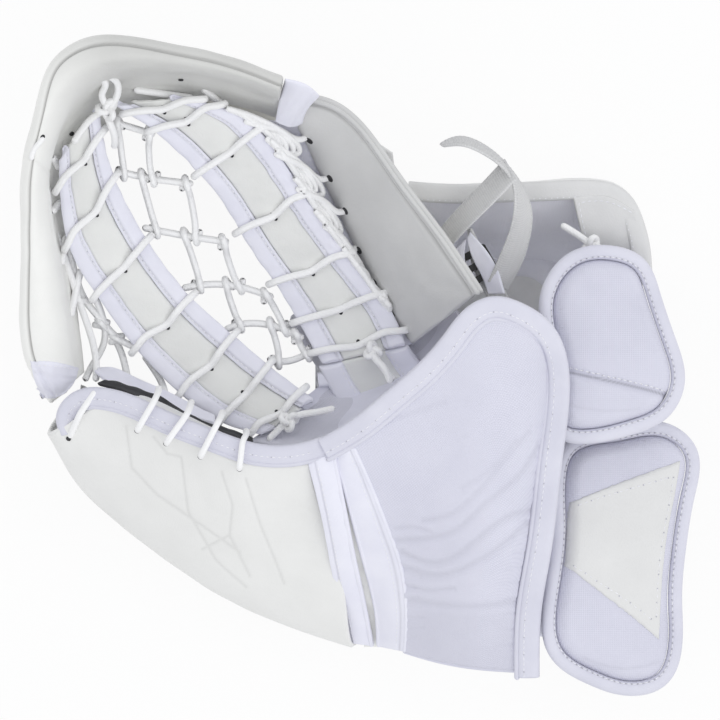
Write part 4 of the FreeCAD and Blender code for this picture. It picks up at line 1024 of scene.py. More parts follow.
# Each lace of the rim, as shares of the casing's edge and of a strap's outer edge.
LEFT_RIM_LACES = [(0.46, 0.02), (0.35, 0.12), (0.24, 0.22), (0.13, 0.32)]
RIGHT_RIM_LACES = [(0.70, 0.0), (0.84, 0.11)]
# Where the braid beside the finger panel is gathered, as shares of its length.
BRAID_KNOTS = [0.02, 0.22, 0.40, 0.56, 0.74, 0.92]
BRAID_STRANDS = 5


def edge_lace(first, second, shares, lift):
    start = pick(first, [shares[0]])[0] + step(0, 0, LACE_RADIUS) + lift
    end = pick(second, [shares[1]])[0] - step(0, 0, 6.0)
    middle = (start + end) / 2 - step(0, 0, 1.0)
    return along([start, middle, end], 24)


def make_side_laces(panel_over, panel_up):
    casing = along(CASING_INNER, 240)
    right, left = along(RIGHT_STRAP_OUT, 240), along(LEFT_STRAP_OUT, 240)
    pile = Pile()
    for place, share in FINGER_LACES:
        spot, way = seat(panel_over, panel_up, plan(place))
        (edge,) = pick(right, [share])
        inward = unit((edge - spot[0]) * LEVEL)
        path = [
            spot[0] - way[0] * 2.6 * MM, spot[0] + way[0] * 1.4 * MM + inward * 1.6 * MM,
            mix(spot[0], edge, 0.45) + step(0, 0, 1.6), edge + step(0, 0, 2.4) - inward * 1.5 * MM,
            edge + inward * 3.4 * MM + step(0, 0, 3.2),
        ]
        tube(pile, along(path, 50), LACE_RADIUS * 0.9, 10)
    rows = along(PANEL_INNER, 260), along(RIGHT_STRAP_OUT, 260, 0.12, 0.90)
    source = np.random.RandomState(5)
    for first, last in zip(BRAID_KNOTS, BRAID_KNOTS[1:]):
        for strand in range(BRAID_STRANDS):
            low = 0.06 + 0.12 * source.uniform(-1, 1)
            high = 0.14 + 0.17 * strand + source.uniform(-0.04, 0.04)
            share = np.linspace(0, 1, 40)
            place = first - 0.02 + (last - first + 0.05) * share
            index = np.clip((place * 259).astype(int), 0, 259)
            outward = low + (high - low) * np.sin(math.pi * share) ** 0.8
            path = rows[1][index] + (rows[0][index] - rows[1][index]) * outward[:, None]
            rise = 2.6 + 2.0 * np.sin(math.pi * share * 2 + strand * 1.6) + strand * 0.4
            tube(pile, along(path[::3] + rise[::3, None] * UP * MM, 50), LACE_RADIUS * 0.86, 9)
    pile.piece("finger_side_laces", LACE, "hand", "lace", ("finger_lacing",))

    pile = Pile()
    for shares in LEFT_RIM_LACES:
        tube(pile, edge_lace(casing, left, shares, step(0, 0, 0.5)), LACE_RADIUS, 10)
    for shares in RIGHT_RIM_LACES:
        tube(pile, edge_lace(casing, right, shares, step(0, 2, 0.5)), LACE_RADIUS, 10)
    pile.piece("rim_laces", LACE, "hand", "lace", ("rim_lacing",))


def lace_knot(pile, centre, tails, size=3.3, turn=0.0):
    """A pulled lace knot with its cut ends."""
    angle = np.linspace(0, 2 * math.pi, 90, endpoint=False)
    x = np.sin(angle) + 1.6 * np.sin(2 * angle)
    y = np.cos(angle) - 1.6 * np.cos(2 * angle)
    z = -np.sin(3 * angle) * 1.15
    way, aside = math.cos(turn), math.sin(turn)
    spun = np.stack([x * way - y * aside, x * aside + y * way, z], axis=1)
    tube(pile, centre + spun * size * 0.52 * MM, 1.95, 8, closed=True)
    for tail in tails:
        tube(pile, along(tail, 24), LACE_RADIUS * 0.96, 9)


def make_knots():
    pile = Pile()
    lace_knot(pile, rail((-147, 151, 127))[0], [
        rail((-148, 154, 128), (-150, 160, 132), (-148, 165, 136), (-150, 169, 141)),
        rail((-145, 152, 128), (-141, 160, 130), (-141, 166, 134), (-145, 170, 140)),
        rail((-148, 149, 124), (-145, 142, 120), (-143, 136, 116), (-143, 130, 108)),
        rail((-150, 150, 124), (-156, 146, 120), (-162, 139, 118), (-166, 133, 117)),
    ], size=4.2, turn=0.4)
    pile.piece("top_lace_knot", LACE, "hand", "lace", ("top_knot",))
    pile = Pile()
    lace_knot(pile, rail((8, 10, 75.5))[0], [
        rail((9, 8, 75), (12, 3, 75.5), (15, -1, 76), (19, -6, 79)),
        rail((7, 11, 75), (10, 5, 78), (14, 1, 80), (18, -7, 81)),
    ], turn=1.2)
    lace_knot(pile, rail((-41, -31, 86))[0], [
        rail((-39, -29, 85.5), (-33, -27, 86.5), (-26, -26, 87.5), (-16, -24, 88)),
        rail((-42, -31, 85), (-47, -36, 84), (-52, -41, 84)),
    ], size=3.7, turn=2.1)
    pile.piece("heel_lace_knots", LACE, "hand", "lace", ("heel_knots",))
    pile = Pile()
    lace_knot(pile, rail((137, 71, 84))[0], [
        rail((136, 72, 83.4), (128, 78, 83.6), (120, 83, 82.6)),
        rail((139, 70, 84), (146, 67, 84.4), (153, 64, 83.4)),
        rail((137, 69, 83.6), (140, 62, 82.4), (141, 56, 80)),
    ], size=4.0, turn=0.9)
    pile.piece("cuff_lace_knot", LACE, "hand", "lace", ("cuff_knot",))


def make_heel():
    """What closes the pocket below: a strip across its heel, the palm and a soft sheet towards the thumb."""
    pile = Pile()
    line = along(rail((-24, -7, 60.5), (-10, -4.6, 60.5), (4, 2, 60.5), (16, 8, 61)), 60)
    sweep(pile, line, lens(9, 2.4))
    pile.piece("heel_strip", BINDING, "hand", "binding_fabric", ("heel_crosspiece",))

    rails = [
        rail((-34, -24, 60), (-18, -36, 72), (-6, -40, 100), (-3, -36, 146.6)),
        rail((-14, -6, 54.4), (10, -14, 58), (28, -16, 90), (29, -9, 148.6)),
        rail((24, 20, 52), (44, 8, 58), (52, 4, 90), (54, 14, 149)),
        rail((26, 58, 52), (50, 42, 58), (64, 26, 90), (67, 30, 149)),
    ]
    layer([lattice(rails, 60, 80)], LEATHER_THICK, (40, 0.5, 41), "palm_cover", PALM_SHADE,
          stands_for=("palm_leather",))
    rails = [
        rail((-64, -42, 82), (-46, -46, 90), (-30, -47, 104), (-12, -43, 120)),
        rail((-50, -32, 69), (-36, -33, 71), (-22, -34, 78), (-4, -35, 92)),
        rail((-34, -16, 60), (-24, -14, 57.5), (-14, -12, 56), (2, -14, 56)),
    ]
    layer([lattice(rails, 40, 60)], THIN_LEATHER, (30, 0.5, 42), "pocket_heel", PALM_SHADE)


def make_strap_tail():
    """The right strap's end, which runs on down under the cuff's edge."""
    fabric, skin, thread = Pile(), Pile(), Pile()
    ends = [
        rail((-23.4, 0.4, 65.5), (28.6, 12.5, 69.5)), rail((-16, -14, 61), (34, 5, 65)),
        rail((2, -38, 58.6), (46, -10, 60)),
    ]
    rows = [np.linspace(0, 1, 60)[:, None] * (last - first) + first for first, last in ends]
    grid = lattice(rows, 44, 60).transpose(1, 0, 2)
    # each part's first row and the one after its last, its thickness, its puff and its seam's row
    parts = ((0, 17, fabric, 3.0, 1.8, 13), (15, 45, skin, 2.0, 0.2, None), (43, 60, fabric, 3.0, 1.8, 3))
    for low, high, pile, thick, puff, row in parts:
        part = grid[low:high]
        relief = puff * MM * puffed(across_rows(part, -1, 1)) + swell(part, 16, 0.2, 43)
        over, up = shell(pile, part, thick, relief)
        if row is not None:
            stitches(thread, over[row, 2:-2], up[row, 2:-2], *STRAP_SEAM)
    fabric.piece("strap_tail_edges", BINDING, "hand", "binding_fabric")
    skin.piece("strap_tail_face", STRAP, "hand", "strap_leather")
    thread.piece("strap_tail_stitches", THREAD, "hand", "lace")


# ---- thumb -----------------------------------------------------------------------------------------


def thumb_rails():
    """The thumb's cross-sections, row by row from the pocket over its crown to underneath."""
    high = mix(THUMB_TOP, THUMB_LOW, 0.30) + step(-0.5, -1, 7)
    low = mix(THUMB_TOP, THUMB_LOW, 0.68) + step(-2, -4, 13)
    edge = THUMB_LOW.copy()
    under = THUMB_LOW + step(16, 20, -18)
    high[-1] += step(3, 0, 0)
    low[-1] += step(8, 0, 0)
    edge[-1] += step(6, -1, 1)
    under[0] += step(0, 0, 10)
    return [THUMB_TOP, high, low, edge, under]


# Fine creases of the thumb's leather, as places in plan.
THUMB_HAIRLINES = [
    [(-136, -34), (-133, -58), (-118, -74), (-92, -92), (-70, -108)],
    [(-104, -52), (-100, -84), (-84, -112), (-66, -128)],
    [(-80, -60), (-74, -80), (-76, -98), (-64, -122)],
    [(-66, -64), (-58, -92), (-44, -126)],
    [(-76, -98), (-92, -106)],
    [(-120, -40), (-112, -50), (-104, -52)],
]
THUMB_FOLDS = [
    ([(-60, -60), (-58, -90), (-52, -120)], 0.7, 9.0), ([(-110, -44), (-96, -60), (-90, -80)], 0.5, 6.0),
]
BACK_TAPER = [0.50, 0.68, 0.86, 1.0, 1.0, 1.0, 1.0]  # how far the thumb's back reaches in, towards the cuff


def make_thumb():
    pile = Pile()
    grid = lattice(thumb_rails(), 120, 190)
    relief = swell(grid, 90, 0.5, 51) + swell(grid, 28, 0.15, 52) + 0.7 * MM
    marks = np.zeros(relief.shape)
    for places in THUMB_HAIRLINES:
        marks = np.maximum(marks, nearness(grid, pick(plan(*places), np.linspace(0, 1, 40)), 0.75))
    # The hairlines are pressed in and, as painted shade, darkened.
    relief -= marks * 0.45 * MM
    press(relief, grid, THUMB_FOLDS)
    over, up = shell(pile, grid, LEATHER_THICK, relief, marks * 0.22)
    pile.piece("thumb_cover", THUMB_SHADED_LEATHER, "thumb", "leather", ("thumb_panel",), padded=0.7)

    wall = [THUMB_TOP + step(1, 4, -6), THUMB_TOP + step(4, 10, -34), THUMB_TOP + step(6, 4, -62)]
    layer([lattice(wall, 40, 120)], LEATHER_THICK, (30, 0.3, 53), "thumb_wall_cover", BACK_LEATHER, "thumb",
          stands_for=("thumb_pocket_wall",))
    taper = np.array(BACK_TAPER)[:, None]
    low = THUMB_LOW[1:]
    back = [
        low + step(18, 23, -20.5), low + step(23, 40, -23) * taper + step(2, 3, -2),
        low + step(20, 60, -18) * taper + step(4, 6, -2),
    ]
    layer([lattice(back, 50, 110)], LEATHER_THICK, (50, 0.4, 54), "thumb_back_cover", BACK_LEATHER, "thumb",
          stands_for=("thumb_back_shell",))
    return over, up


EDGE_HEIGHT = 3.9  # the crown of a folded binding
THUMB_EDGE = rail(
    (-169, -37, 106), (-171, -29, 110), (-163, -19, 116), (-150, -17.5, 122), (-133, -22, 129),
    (-111, -32, 135), (-88, -41, 140), (-60, -50, 144), (-35, -50, 145.4), (-15, -44, 146.4),
)


def bound_edge(name, body, stands_for, line, reach, count, seam, last, roll):
    """A folded fabric binding: crowned, with a rolled edge and a row of stitches up to its point last.

    reach is how far it goes to each side and seam where its stitches are, in mm. roll is the rolled edge's
    place to the side and above, and its radius.
    """
    pile, thread, needle = Pile(), Pile(), Pile()
    path = along(line, count)
    low, high = reach
    profile = [(x + (low + high) / 2, y - 1.2) for x, y in lens(high - low, EDGE_HEIGHT, 16, 0.36)]
    side, rise = sweep(pile, path, profile)
    row = (path + side * seam * MM + rise * (EDGE_HEIGHT - 1.3) * MM)[:last]
    stitches(thread, row, rise[:last], *EDGE_SEAM)
    needle_holes(needle, row, even_shares(row, 10.2), UP, 0.45)
    aside, above, radius = roll
    tube(pile, path + side * aside * MM + UP * above * MM, radius, 8)
    pile.piece(f"{name}_edge", EDGE_SHADED_FABRIC, body, "binding_fabric", stands_for)
    thread.piece(f"{name}_edge_stitches", THREAD, body, "lace")
    needle.piece(f"{name}_edge_needle_holes", NEEDLE_HOLE_SHADE, body, "binding_fabric")


STRIP_THICK, SEAM_WIDTH = 3.2, 0.04


def slit_strip(body, rows, seam, stitched, rolls, seed):
    """The fabric strip along one side of the slit. seam is its share of the width and stitched its row."""
    pile, thread = Pile(), Pile()
    grid = lattice(rows, 36, 160)
    # Painted shade: the strip is darker along its seam groove.
    marks = np.exp(-(((across_rows(grid, 0, 1) - seam) / SEAM_WIDTH) ** 2))
    over, up = shell(pile, grid, STRIP_THICK, swell(grid, 20, 0.25, seed) - marks * 0.7 * MM, marks * 0.3)
    stitches(thread, over[stitched, 4:-4], up[stitched, 4:-4], *SLIT_SEAM)
    for row, shift, radius in rolls:
        tube(pile, over[row, 2:-2] + shift, radius, 8)
    name = {"thumb": "thumb", "hand": "cuff"}[body]
    pile.piece(f"{name}_slit_edge", BINDING, body, "binding_fabric", (f"{name}_slit_strip",))
    thread.piece(f"{name}_slit_stitches", THREAD, body, "lace")


def make_thumb_binding():
    bound_edge("thumb", "thumb", ("thumb_binding",), THUMB_EDGE, (-6.2, 5.8), 220, 1.0, -16, (5.6, 0.5, 1.4))
    middle = mix(along(THUMB_END, 9), along(SLIT_THUMB, 9), 0.5) + step(0, 0, 4.4)
    lines = THUMB_END + step(-3, 0, 1.6), middle, SLIT_THUMB + step(0.6, 0, 3.0)
    rolls = [(35, step(0.3, 0, -0.6), 1.6)]
    slit_strip("thumb", [along(line, 120) for line in lines], 0.26, 12, rolls, 61)


def make_gap_linings():
    """A dark sheet of painted shade in the gap between thumb and left strap, the pale fold there, and the
    leather behind the slit.
    """
    gap = [
        rail((-152, -9, 104), (-142, -12, 108), (-126, -18, 108), (-108, -26, 108), (-88, -35, 110),
             (-62, -43, 104)),
        rail((-153, -8.4, 99), (-142, -6, 84), (-124, -12, 80), (-106, -20, 78), (-88, -30, 78),
             (-62, -40.5, 92)),
    ]
    # Painted shade: a near-black sheet where the gap between thumb and strap lies in shadow.
    layer([lattice(gap, 20, 80)], FABRIC_THICK, (16, 0.3, 63), "thumb_gap_shade", HOLE_SHADE, "thumb",
          "lining_fabric")
    fold = [
        rail((-154, -1, 90), (-149, -6.5, 92), (-135, -13, 92), (-117, -22, 92), (-97, -28, 92),
             (-84, -33, 92)),
        rail((-153, 0, 84), (-147, 1, 83), (-133, -4, 82), (-115, -12, 82), (-97, -21, 82), (-84, -28, 84)),
    ]
    layer([lattice(fold, 30, 110)], TAPE_THICK, (14, 0.7, 64), "pocket_fold", BINDING, slot="binding_fabric",
          bend=True)
    tongue = [SLIT_THUMB + step(-4, 0, -3.4), SLIT_CUFF[[0, 1, 2, 4, 5]] + step(6, 0, -3.4)]
    layer([lattice(tongue, 24, 90)], TAPE_THICK, (18, 0.3, 65), "slit_tongue", LEATHER)
    side = [
        rail((13, -160.5, 46), (26, -165, 57), (42, -170, 64)),
        rail((17, -146, 24), (29, -151, 28), (42, -154, 32)),
        rail((16, -110, 7.6), (28, -117, 7.6), (42, -125, 7.6)),
    ]
    layer([lattice(side, 40, 40)], THIN_LEATHER, (24, 0.5, 66), "slit_side", LEATHER)


# Each lace over the thumb's edge: its hole, its top and its hidden end.
THUMB_STITCHES = [
    ((-128.7, -35.1, 135.5), (-119.9, -19.9, 134.5), (-117, -12, 116)),
    ((-111.7, -42.7, 139), (-101.2, -28.1, 139), (-98, -20, 118)),
    ((-91.8, -50.3, 142), (-83.1, -33.4, 142.5), (-80, -26, 120)),
    ((-69.6, -57.2, 145), (-67.9, -43.7, 145.5), (-66, -37, 122)),
    ((-169, -39.6, 104), (-163, -27, 117), (-155, -15, 119)),
]


def make_thumb_laces(over, up):
    pile, holes = Pile(), Pile()
    for low, top, deep in THUMB_STITCHES:
        first, second, third = rail(low, top, deep) + step(0, 0, 2.6)
        way = unit((first - second) * LEVEL)
        path = [
            first + way * 1.0 * MM - step(0, 0, 4.2), first - step(0, 0, 0.6),
            mix(first, second, 0.5) + step(0, 0, 0.9), second,
            mix(second, third, 0.35) + step(1.2, 2.0, 0), third,
        ]
        tube(pile, along(path, 44), 2.1, 12, flat=0.85)
        spot, lift = seat(over, up, [first + way * 1.9 * MM])
        disc(holes, spot[0], lift[0], 1.5, 0.4)
    pile.piece("thumb_laces", LACE, "thumb", "lace", ("thumb_lacing",))
    holes.piece("thumb_lace_holes", HOLE_SHADE, "thumb", "leather")


RIM_TAB = [
    [(-191.5, 4), (-178, 3.4), (-164.5, 0)], [(-190, -5), (-179, -7), (-167, -8)],
    [(-184.5, -17), (-180, -17.5), (-172, -14)],
]


def make_rim_tab(over, up):
    pile, thread = Pile(), Pile()
    rows = [along(plan(*places), 40) for places in RIM_TAB]
    flat = lattice(rows, 24, 40)
    points, _ = seat(over, up, flat.reshape(-1, 3), 0.9)
    grid = points.reshape(flat.shape)
    tab, ways = shell(pile, grid, TAPE_THICK, swell(grid, 11, 0.45, 71))
    stitches(thread, tab[2, 2:-2], ways[2, 2:-2], *TAB_SEAM)
    pile.piece("rim_tab", BINDING, "hand", "binding_fabric", ("rim_gusset_tab",), bend=True)
    thread.piece("rim_tab_stitches", THREAD, "hand", "lace", bend=True)


# ---- cuff ------------------------------------------------------------------------------------------


CUFF_BELLY = 16  # how far the cuff's middle stands above its edges


def cuff_grid(rows, count):
    top, low = along(CUFF_TOP, count), along(CUFF_LOW, count)
    left, right = along(CUFF_LEFT, rows), along(CUFF_RIGHT, rows)
    share = np.linspace(0, 1, rows)[:, None, None]
    across = np.linspace(0, 1, count)[None, :, None]
    lift = CUFF_BELLY * MM * np.sin(math.pi * share) * np.sin(math.pi * across)
    return patchwork(top, low, left, right) + lift * UP


# The cuff's creases: their places in plan, depth and width in mm.
CUFF_WRINKLES = [
    ([(25, -107.5), (44, -114), (65.5, -103.5), (88, -87), (101, -83)], 0.75, 2.2),
    ([(22, -101), (37, -100), (57, -94.8), (75.5, -78.4), (93.6, -63), (104, -46)], 0.70, 2.0),
    ([(37, -89.5), (53, -86), (69.4, -73), (83.4, -55.6), (98.6, -37.4)], 0.55, 1.8),
    ([(25, -116.4), (45, -121.4), (65.5, -115), (83.4, -103.5), (98.6, -91)], 0.70, 2.4),
    ([(27.5, -127.5), (40, -130.3), (55.5, -129)], 0.55, 1.6),
    ([(60.5, -70.7), (75.8, -60.5), (91, -42.7)], 0.40, 1.8),
    ([(14.6, -31.4), (31, -26), (50, -20)], 0.35, 2.0),
    ([(21, -94), (31, -93), (42, -96)], 0.50, 1.3),
    ([(58, -120), (74, -112), (90, -100)], 0.40, 1.6),
    ([(30, -136), (60, -140), (98, -136)], 0.70, 2.6),
]


CUFF_EDGE = rail(
    (-21, -46.6, 147.8), (-11, -41, 149.2), (0, -34, 150), (18, -19.5, 151), (36, -4, 152), (54, 16, 152),
    (68, 32, 152), (78, 36, 151), (92, 33, 148), (107, 23, 142), (115, 8, 134), (117, -20, 125),
    (113, -54, 117), (107, -105, 103), (101, -142, 92), (100, -181, 81.5),
)


WRINKLE_DEPTH = 1.35  # what the wrinkles' depths are multiplied by


def make_cuff():
    pile = Pile()
    grid = cuff_grid(190, 170)
    relief = swell(grid, 70, 0.6, 81) + swell(grid, 22, 0.15, 82) + 0.4 * MM
    marks = np.zeros(relief.shape)
    for places, depth, width in CUFF_WRINKLES:
        line = along(plan(*places), 30)
        cut = groove(grid, line, depth * WRINKLE_DEPTH, width)
        relief += cut - groove(grid, line + step(-2.0, 2.8, 0), depth * 0.6, width * 1.1)
        # Painted shade: the cuff is darker in each wrinkle's groove.
        marks = np.maximum(marks, -cut / MM * 0.16)
    left, right = along(CUFF_LEFT, 60), along(CUFF_RIGHT, 60)
    puckers = [(left[k], 1, 6.5 + (k * 7 % 5)) for k in range(28, 58, 3)]
    puckers += [(right[k], -1, 7.5 + (k * 5 % 4)) for k in range(12, 56, 3)]
    for spot, way, length in puckers:
        line = np.array([spot, spot + step(way * length, way * 1.5, 0)])
        relief += groove(grid, line, 0.45, 0.9)
    # Painted shade: the cuff is darker below y = -137 mm, where it bends down at its hem.
    marks = np.maximum(marks, np.clip((-137 - grid[..., 1] / MM) / 8, 0, 1) * 0.10)
    shell(pile, grid, FABRIC_THICK, relief, marks)
    pile.piece("cuff_cover", CUFF, "hand", "cuff_fabric", ("front_cuff_panel",), padded=0.7)

    bound_edge("cuff", "hand", ("cuff_binding",), CUFF_EDGE, (-5.9, 7.2), 320, 3.4, None, (7.4, -0.3, 1.7))
    edge, slit = along(CUFF_LEFT, 160), along(SLIT_CUFF, 160)
    rows = [slit, mix(slit, edge, 0.5) + step(0, 0, 1.5), edge + step(0.8, 0, 0.8)]
    rolls = [(0, step(0.2, 0, -0.6), 1.6), (35, step(0, 0, -0.4), 1.4)]
    slit_strip("hand", rows, 0.80, 25, rolls, 83)


def make_cuff_side():
    low = CUFF_LOW + step(0, 2.6, -0.6)
    belly = mix(low, CUFF_HEM, 0.5) + step(0, -1, -6)
    grid = lattice([low, belly, CUFF_HEM], 60, 100)
    pile = Pile()
    relief = swell(grid, 34, 0.8, 84)
    for share in (0.3, 0.7):
        relief += groove(grid, along(mix(low, belly, share), 60), 0.6, 2.0)
    shell(pile, grid, 4.0, relief)
    pile.piece("cuff_side", CUFF, "hand", "cuff_fabric", ("cuff_side_panel",))

    hangers = [
        [rail((102, 15, 131), (103, -4, 129), (102, -26, 119)),
         rail((104.6, 22, 109), (107.4, -4, 109), (109.4, -26, 108.5))],
        [rail((100, -62, 111.6), (96, -100, 102.6), (90, -140, 90)),
         rail((111.3, -66, 81), (108.4, -95, 81), (105.5, -130, 81))],
    ]
    grids = [lattice(rails, 24, 50) for rails in hangers]
    layer(grids, FABRIC_THICK, (14, 0.35, 85), "flap_hangers", BINDING, slot="binding_fabric",
          stands_for=("flap_tapes",))


# ---- flaps -----------------------------------------------------------------------------------------


UPPER_FLAP = plan(
    (112, 44), (124, 60), (145, 63.5), (159, 58), (166, 43), (176.5, 12), (180.5, -8), (173, -23),
    (156, -31), (134, -36), (118, -34), (116, -6),
)
LOWER_FLAP = plan(
    (124, -49), (149, -42.5), (178, -41), (188, -50), (187, -72), (181.5, -104), (179, -136), (179, -163),
    (173, -179), (155, -184), (135, -178), (116, -165), (114, -130), (118, -90),
)
PATCH_TOP = plan((119.5, -79), (141, -70), (163, -62), (184, -54.5))
PATCH_LOW = plan((117, -116), (135, -130), (153, -144), (171, -159))
PATCH_LEFT = plan((119.5, -79), (118.4, -91), (117.6, -104), (117, -116))
PATCH_RIGHT = plan((184, -54.5), (180.5, -76), (175.5, -99.9), (173.2, -122.7), (172, -141.7), (171, -159))
# The flaps' creases, as places in plan, depth and width in mm, and the upper one's row of stitches.
UPPER_CREASES = [
    ([(117, -2), (140, -7), (162, -12), (184, -18)], 2.6, 2.4),
    ([(120, -22), (140, -25), (160, -24)], 0.4, 4.0),
]
LOWER_CREASES = [([(128, -170), (150, -176), (172, -172)], 0.5, 4.0)]
UPPER_SEAMS = [[(119, 0.2), (140, -4.6), (162, -9.6), (182, -15.4)]]
PAD_THICK, PAD_EDGE, PAD_CROWN, PAD_RINGS = 15.0, 8.0, 1.6, 46
ROLL_OUT, ROLL_HEIGHT, ROLL_RADIUS = 3.9, 9.0, 4.3  # a flap's rolled edge
SEAM_OUT, SEAM_HEIGHT = 1.2, 12.0  # its stitches


class Flap:
    """The plane of a flap, which falls by its tilt towards the cuff's end."""

    def __init__(self, origin, tilt):
        (self.origin,) = rail(origin)
        self.fall, self.level = math.sin(math.radians(tilt)), math.cos(math.radians(tilt))
        self.normal = unit(self.place(UP) - self.place(np.zeros(3)))

    def flat(self, points):
        points = np.asarray(points, float)
        return np.stack([
            (points[..., 0] - self.origin[0]) / self.level, points[..., 1] - self.origin[1],
            np.zeros(points.shape[:-1]),
        ], axis=-1)

    def place(self, points):
        x, y, z = points[..., 0], points[..., 1], points[..., 2]
        return self.origin + np.stack([
            x * self.level + z * self.fall, y, z * self.level - x * self.fall,
        ], axis=-1)


def outward(outline, distance):
    """A closed line at a distance in mm outside a closed line in the plane z = 0."""
    ahead = unit(np.roll(outline, -1, axis=0) - np.roll(outline, 1, axis=0))
    side = np.cross(ahead, UP)
    middle = outline.mean(0)
    if np.sum((outline - middle) * side) < 0:
        side = -side
    return outline + side * distance * MM


def cushion(outline, thick, edge, crown):
    """Rings of points over a pad with the given outline: its distance from the edge sets its height."""
    centre = outline.mean(0)
    shares = np.linspace(0, 1, PAD_RINGS) ** 1.25
    top = centre + (outline - centre)[None] * (1 - shares)[:, None, None]
    line = np.concatenate([outline, outline[:1]])
    depth = flat_distance(top, line) / (edge * MM)
    height = np.sqrt(np.clip(1 - (1 - np.clip(depth, 0, 1)) ** 2, 0, 1)) * 0.72 + 0.28
    height = thick * MM * height + crown * MM * (1 - np.exp(-depth * 0.6))
    return top, height


def padded_block(pile, place, outline, thick, edge, crown, relief, shade=None):
    """A closed cushion over an outline: domed over, rounded at its foot and flat underneath."""
    count = len(outline)
    top, height = cushion(outline, thick, edge, crown)
    upper = top + UP * (height + relief(top))[..., None]
    rows = [upper]
    middle = outline.mean(0)
    for shift, rise in ((0.6, 0.62), (0.7, 0.38), (0.3, 0.16), (-1.6, 0.03)):
        rows.insert(0, (outward(outline, shift) + UP * (thick * 0.28 * rise / 0.62 * 0.9) * MM)[None])
    under = middle + (outline - middle)[None] * np.linspace(0.93, 0.02, 12)[:, None, None]
    grid = np.concatenate([under[::-1]] + rows)
    faces = strip_faces(len(grid), count, closed_columns=True)
    faces += [tuple(reversed(face)) for face in end_faces(len(grid), count)]
    area = np.sum(outline[:, 0] * np.roll(outline[:, 1], -1) - np.roll(outline[:, 0], -1) * outline[:, 1])
    if area < 0:
        faces = [tuple(reversed(face)) for face in faces]
    marks = np.zeros(grid.shape[:2])
    if shade is not None:
        marks[-PAD_RINGS:] = shade(top)
    pile.add(place(grid), faces, grid[..., :2].reshape(-1, 2), marks)
    return place(upper), top


def plane_seat(upper, top, line):
    """Points of a cushion's top at a line in its own plane."""
    flat = top.reshape(-1, 3)
    world = upper.reshape(-1, 3)
    found = []
    for spot in line:
        gap = np.linalg.norm(flat[:, :2] - spot[:2], axis=1)
        near = np.argsort(gap)[:4]
        weight = 1 / (gap[near] + 1e-5)
        found.append((world[near] * weight[:, None]).sum(0) / weight.sum())
    return np.array(found)


def make_flap(name, corners, flap, creases, seams):
    outline = along(flap.flat(corners), 220, closed=True)
    lines = [(along(flap.flat(plan(*places)), 40), depth, width) for places, depth, width in creases]

    def relief(top):
        total = swell(top, 60, 0.7, 91) + swell(top, 24, 0.2, 92)
        for line, depth, width in lines:
            total += groove(top, line, depth, width)
        return total

    # Painted shade: the pad is darker along its creases, more so the deeper they are.
    def shade(top):
        total = np.zeros(top.shape[:-1])
        for line, depth, _ in lines:
            total = np.maximum(total, nearness(top, line, 0.8) * min(1, depth / 3))
        return total

    pile = Pile()
    upper, top = padded_block(pile, flap.place, outline, PAD_THICK, PAD_EDGE, PAD_CROWN, relief, shade)
    pile.piece(f"{name}_cover", FLAP, name, "flap_fabric", (f"{name}_pad",), padded=0.75)

    pile = Pile()
    ring = outward(outline, ROLL_OUT) + UP * ROLL_HEIGHT * MM
    tube(pile, flap.place(ring), ROLL_RADIUS, 16, closed=True, flat=0.80, up=flap.normal)
    pile.piece(f"{name}_roll", EDGE_SHADED_FABRIC, name, "flap_fabric", (f"{name}_piping",))

    thread, needle = Pile(), Pile()
    for places in seams:
        line = plane_seat(upper, top, along(flap.flat(plan(*places)), 120))
        stitches(thread, line, flap.normal, *FLAP_SEAM)
        needle_holes(needle, line, np.linspace(0.01, 0.99, 18), flap.normal, 0.55, 0.3)
    ring = flap.place(outward(outline, SEAM_OUT) + UP * SEAM_HEIGHT * MM)
    ring = np.concatenate([ring, ring[:1]])
    stitches(thread, ring, flap.normal, *FLAP_EDGE_SEAM)
    count = int(line_lengths(ring)[-1] / (FLAP_EDGE_SEAM[0] * MM))
    needle_holes(needle, ring, np.linspace(0, 1, count, endpoint=False), flap.normal, 0.5)
    thread.piece(f"{name}_stitches", THREAD, name, "lace")
    needle.piece(f"{name}_needle_holes", NEEDLE_HOLE_SHADE, name, "flap_fabric")
    return upper, top


def make_flaps():
    make_flap("upper_flap", UPPER_FLAP, Flap((112, 10, 100), 15.0), UPPER_CREASES, UPPER_SEAMS)
    flap = Flap((116, -110, 72), 17.0)
    upper, top = make_flap("lower_flap", LOWER_FLAP, flap, LOWER_CREASES, [])
    rows, count = 40, 46
    flat = patchwork(*[along(flap.flat(line), size) for line, size in (
        (PATCH_TOP, count), (PATCH_LOW, count), (PATCH_LEFT, rows), (PATCH_RIGHT, rows),
    )])
    seated = plane_seat(upper, top, flat.reshape(-1, 3)).reshape(flat.shape) + flap.normal * 1.1 * MM
    pile, thread, needle = Pile(), Pile(), Pile()
    over, up = shell(pile, seated, THIN_LEATHER, swell(seated, 40, 0.25, 93))
    pile.piece("lower_flap_leather", PATCH_LEATHER, "lower_flap", "leather", ("lower_flap_patch",))
    inside = slice(3, -4)
    for row in ((3, inside), (-4, inside), (inside, -3)):
        stitches(thread, over[row], up[row], *PATCH_SEAM)
        needle_holes(needle, over[row], even_shares(over[row], 7.2), flap.normal, 0.42)
    thread.piece("patch_stitches", THREAD, "lower_flap", "lace")
    needle.piece("patch_needle_holes", NEEDLE_HOLE_SHADE, "lower_flap", "leather")


# ---- back cuff, wrist strap and inside -------------------------------------------------------------


BACK_HIGH, BACK_THICK = 78.0, 2.4  # the back leather's height and thickness
BACK_PADDED = 7.0  # how far inside it the lining starts


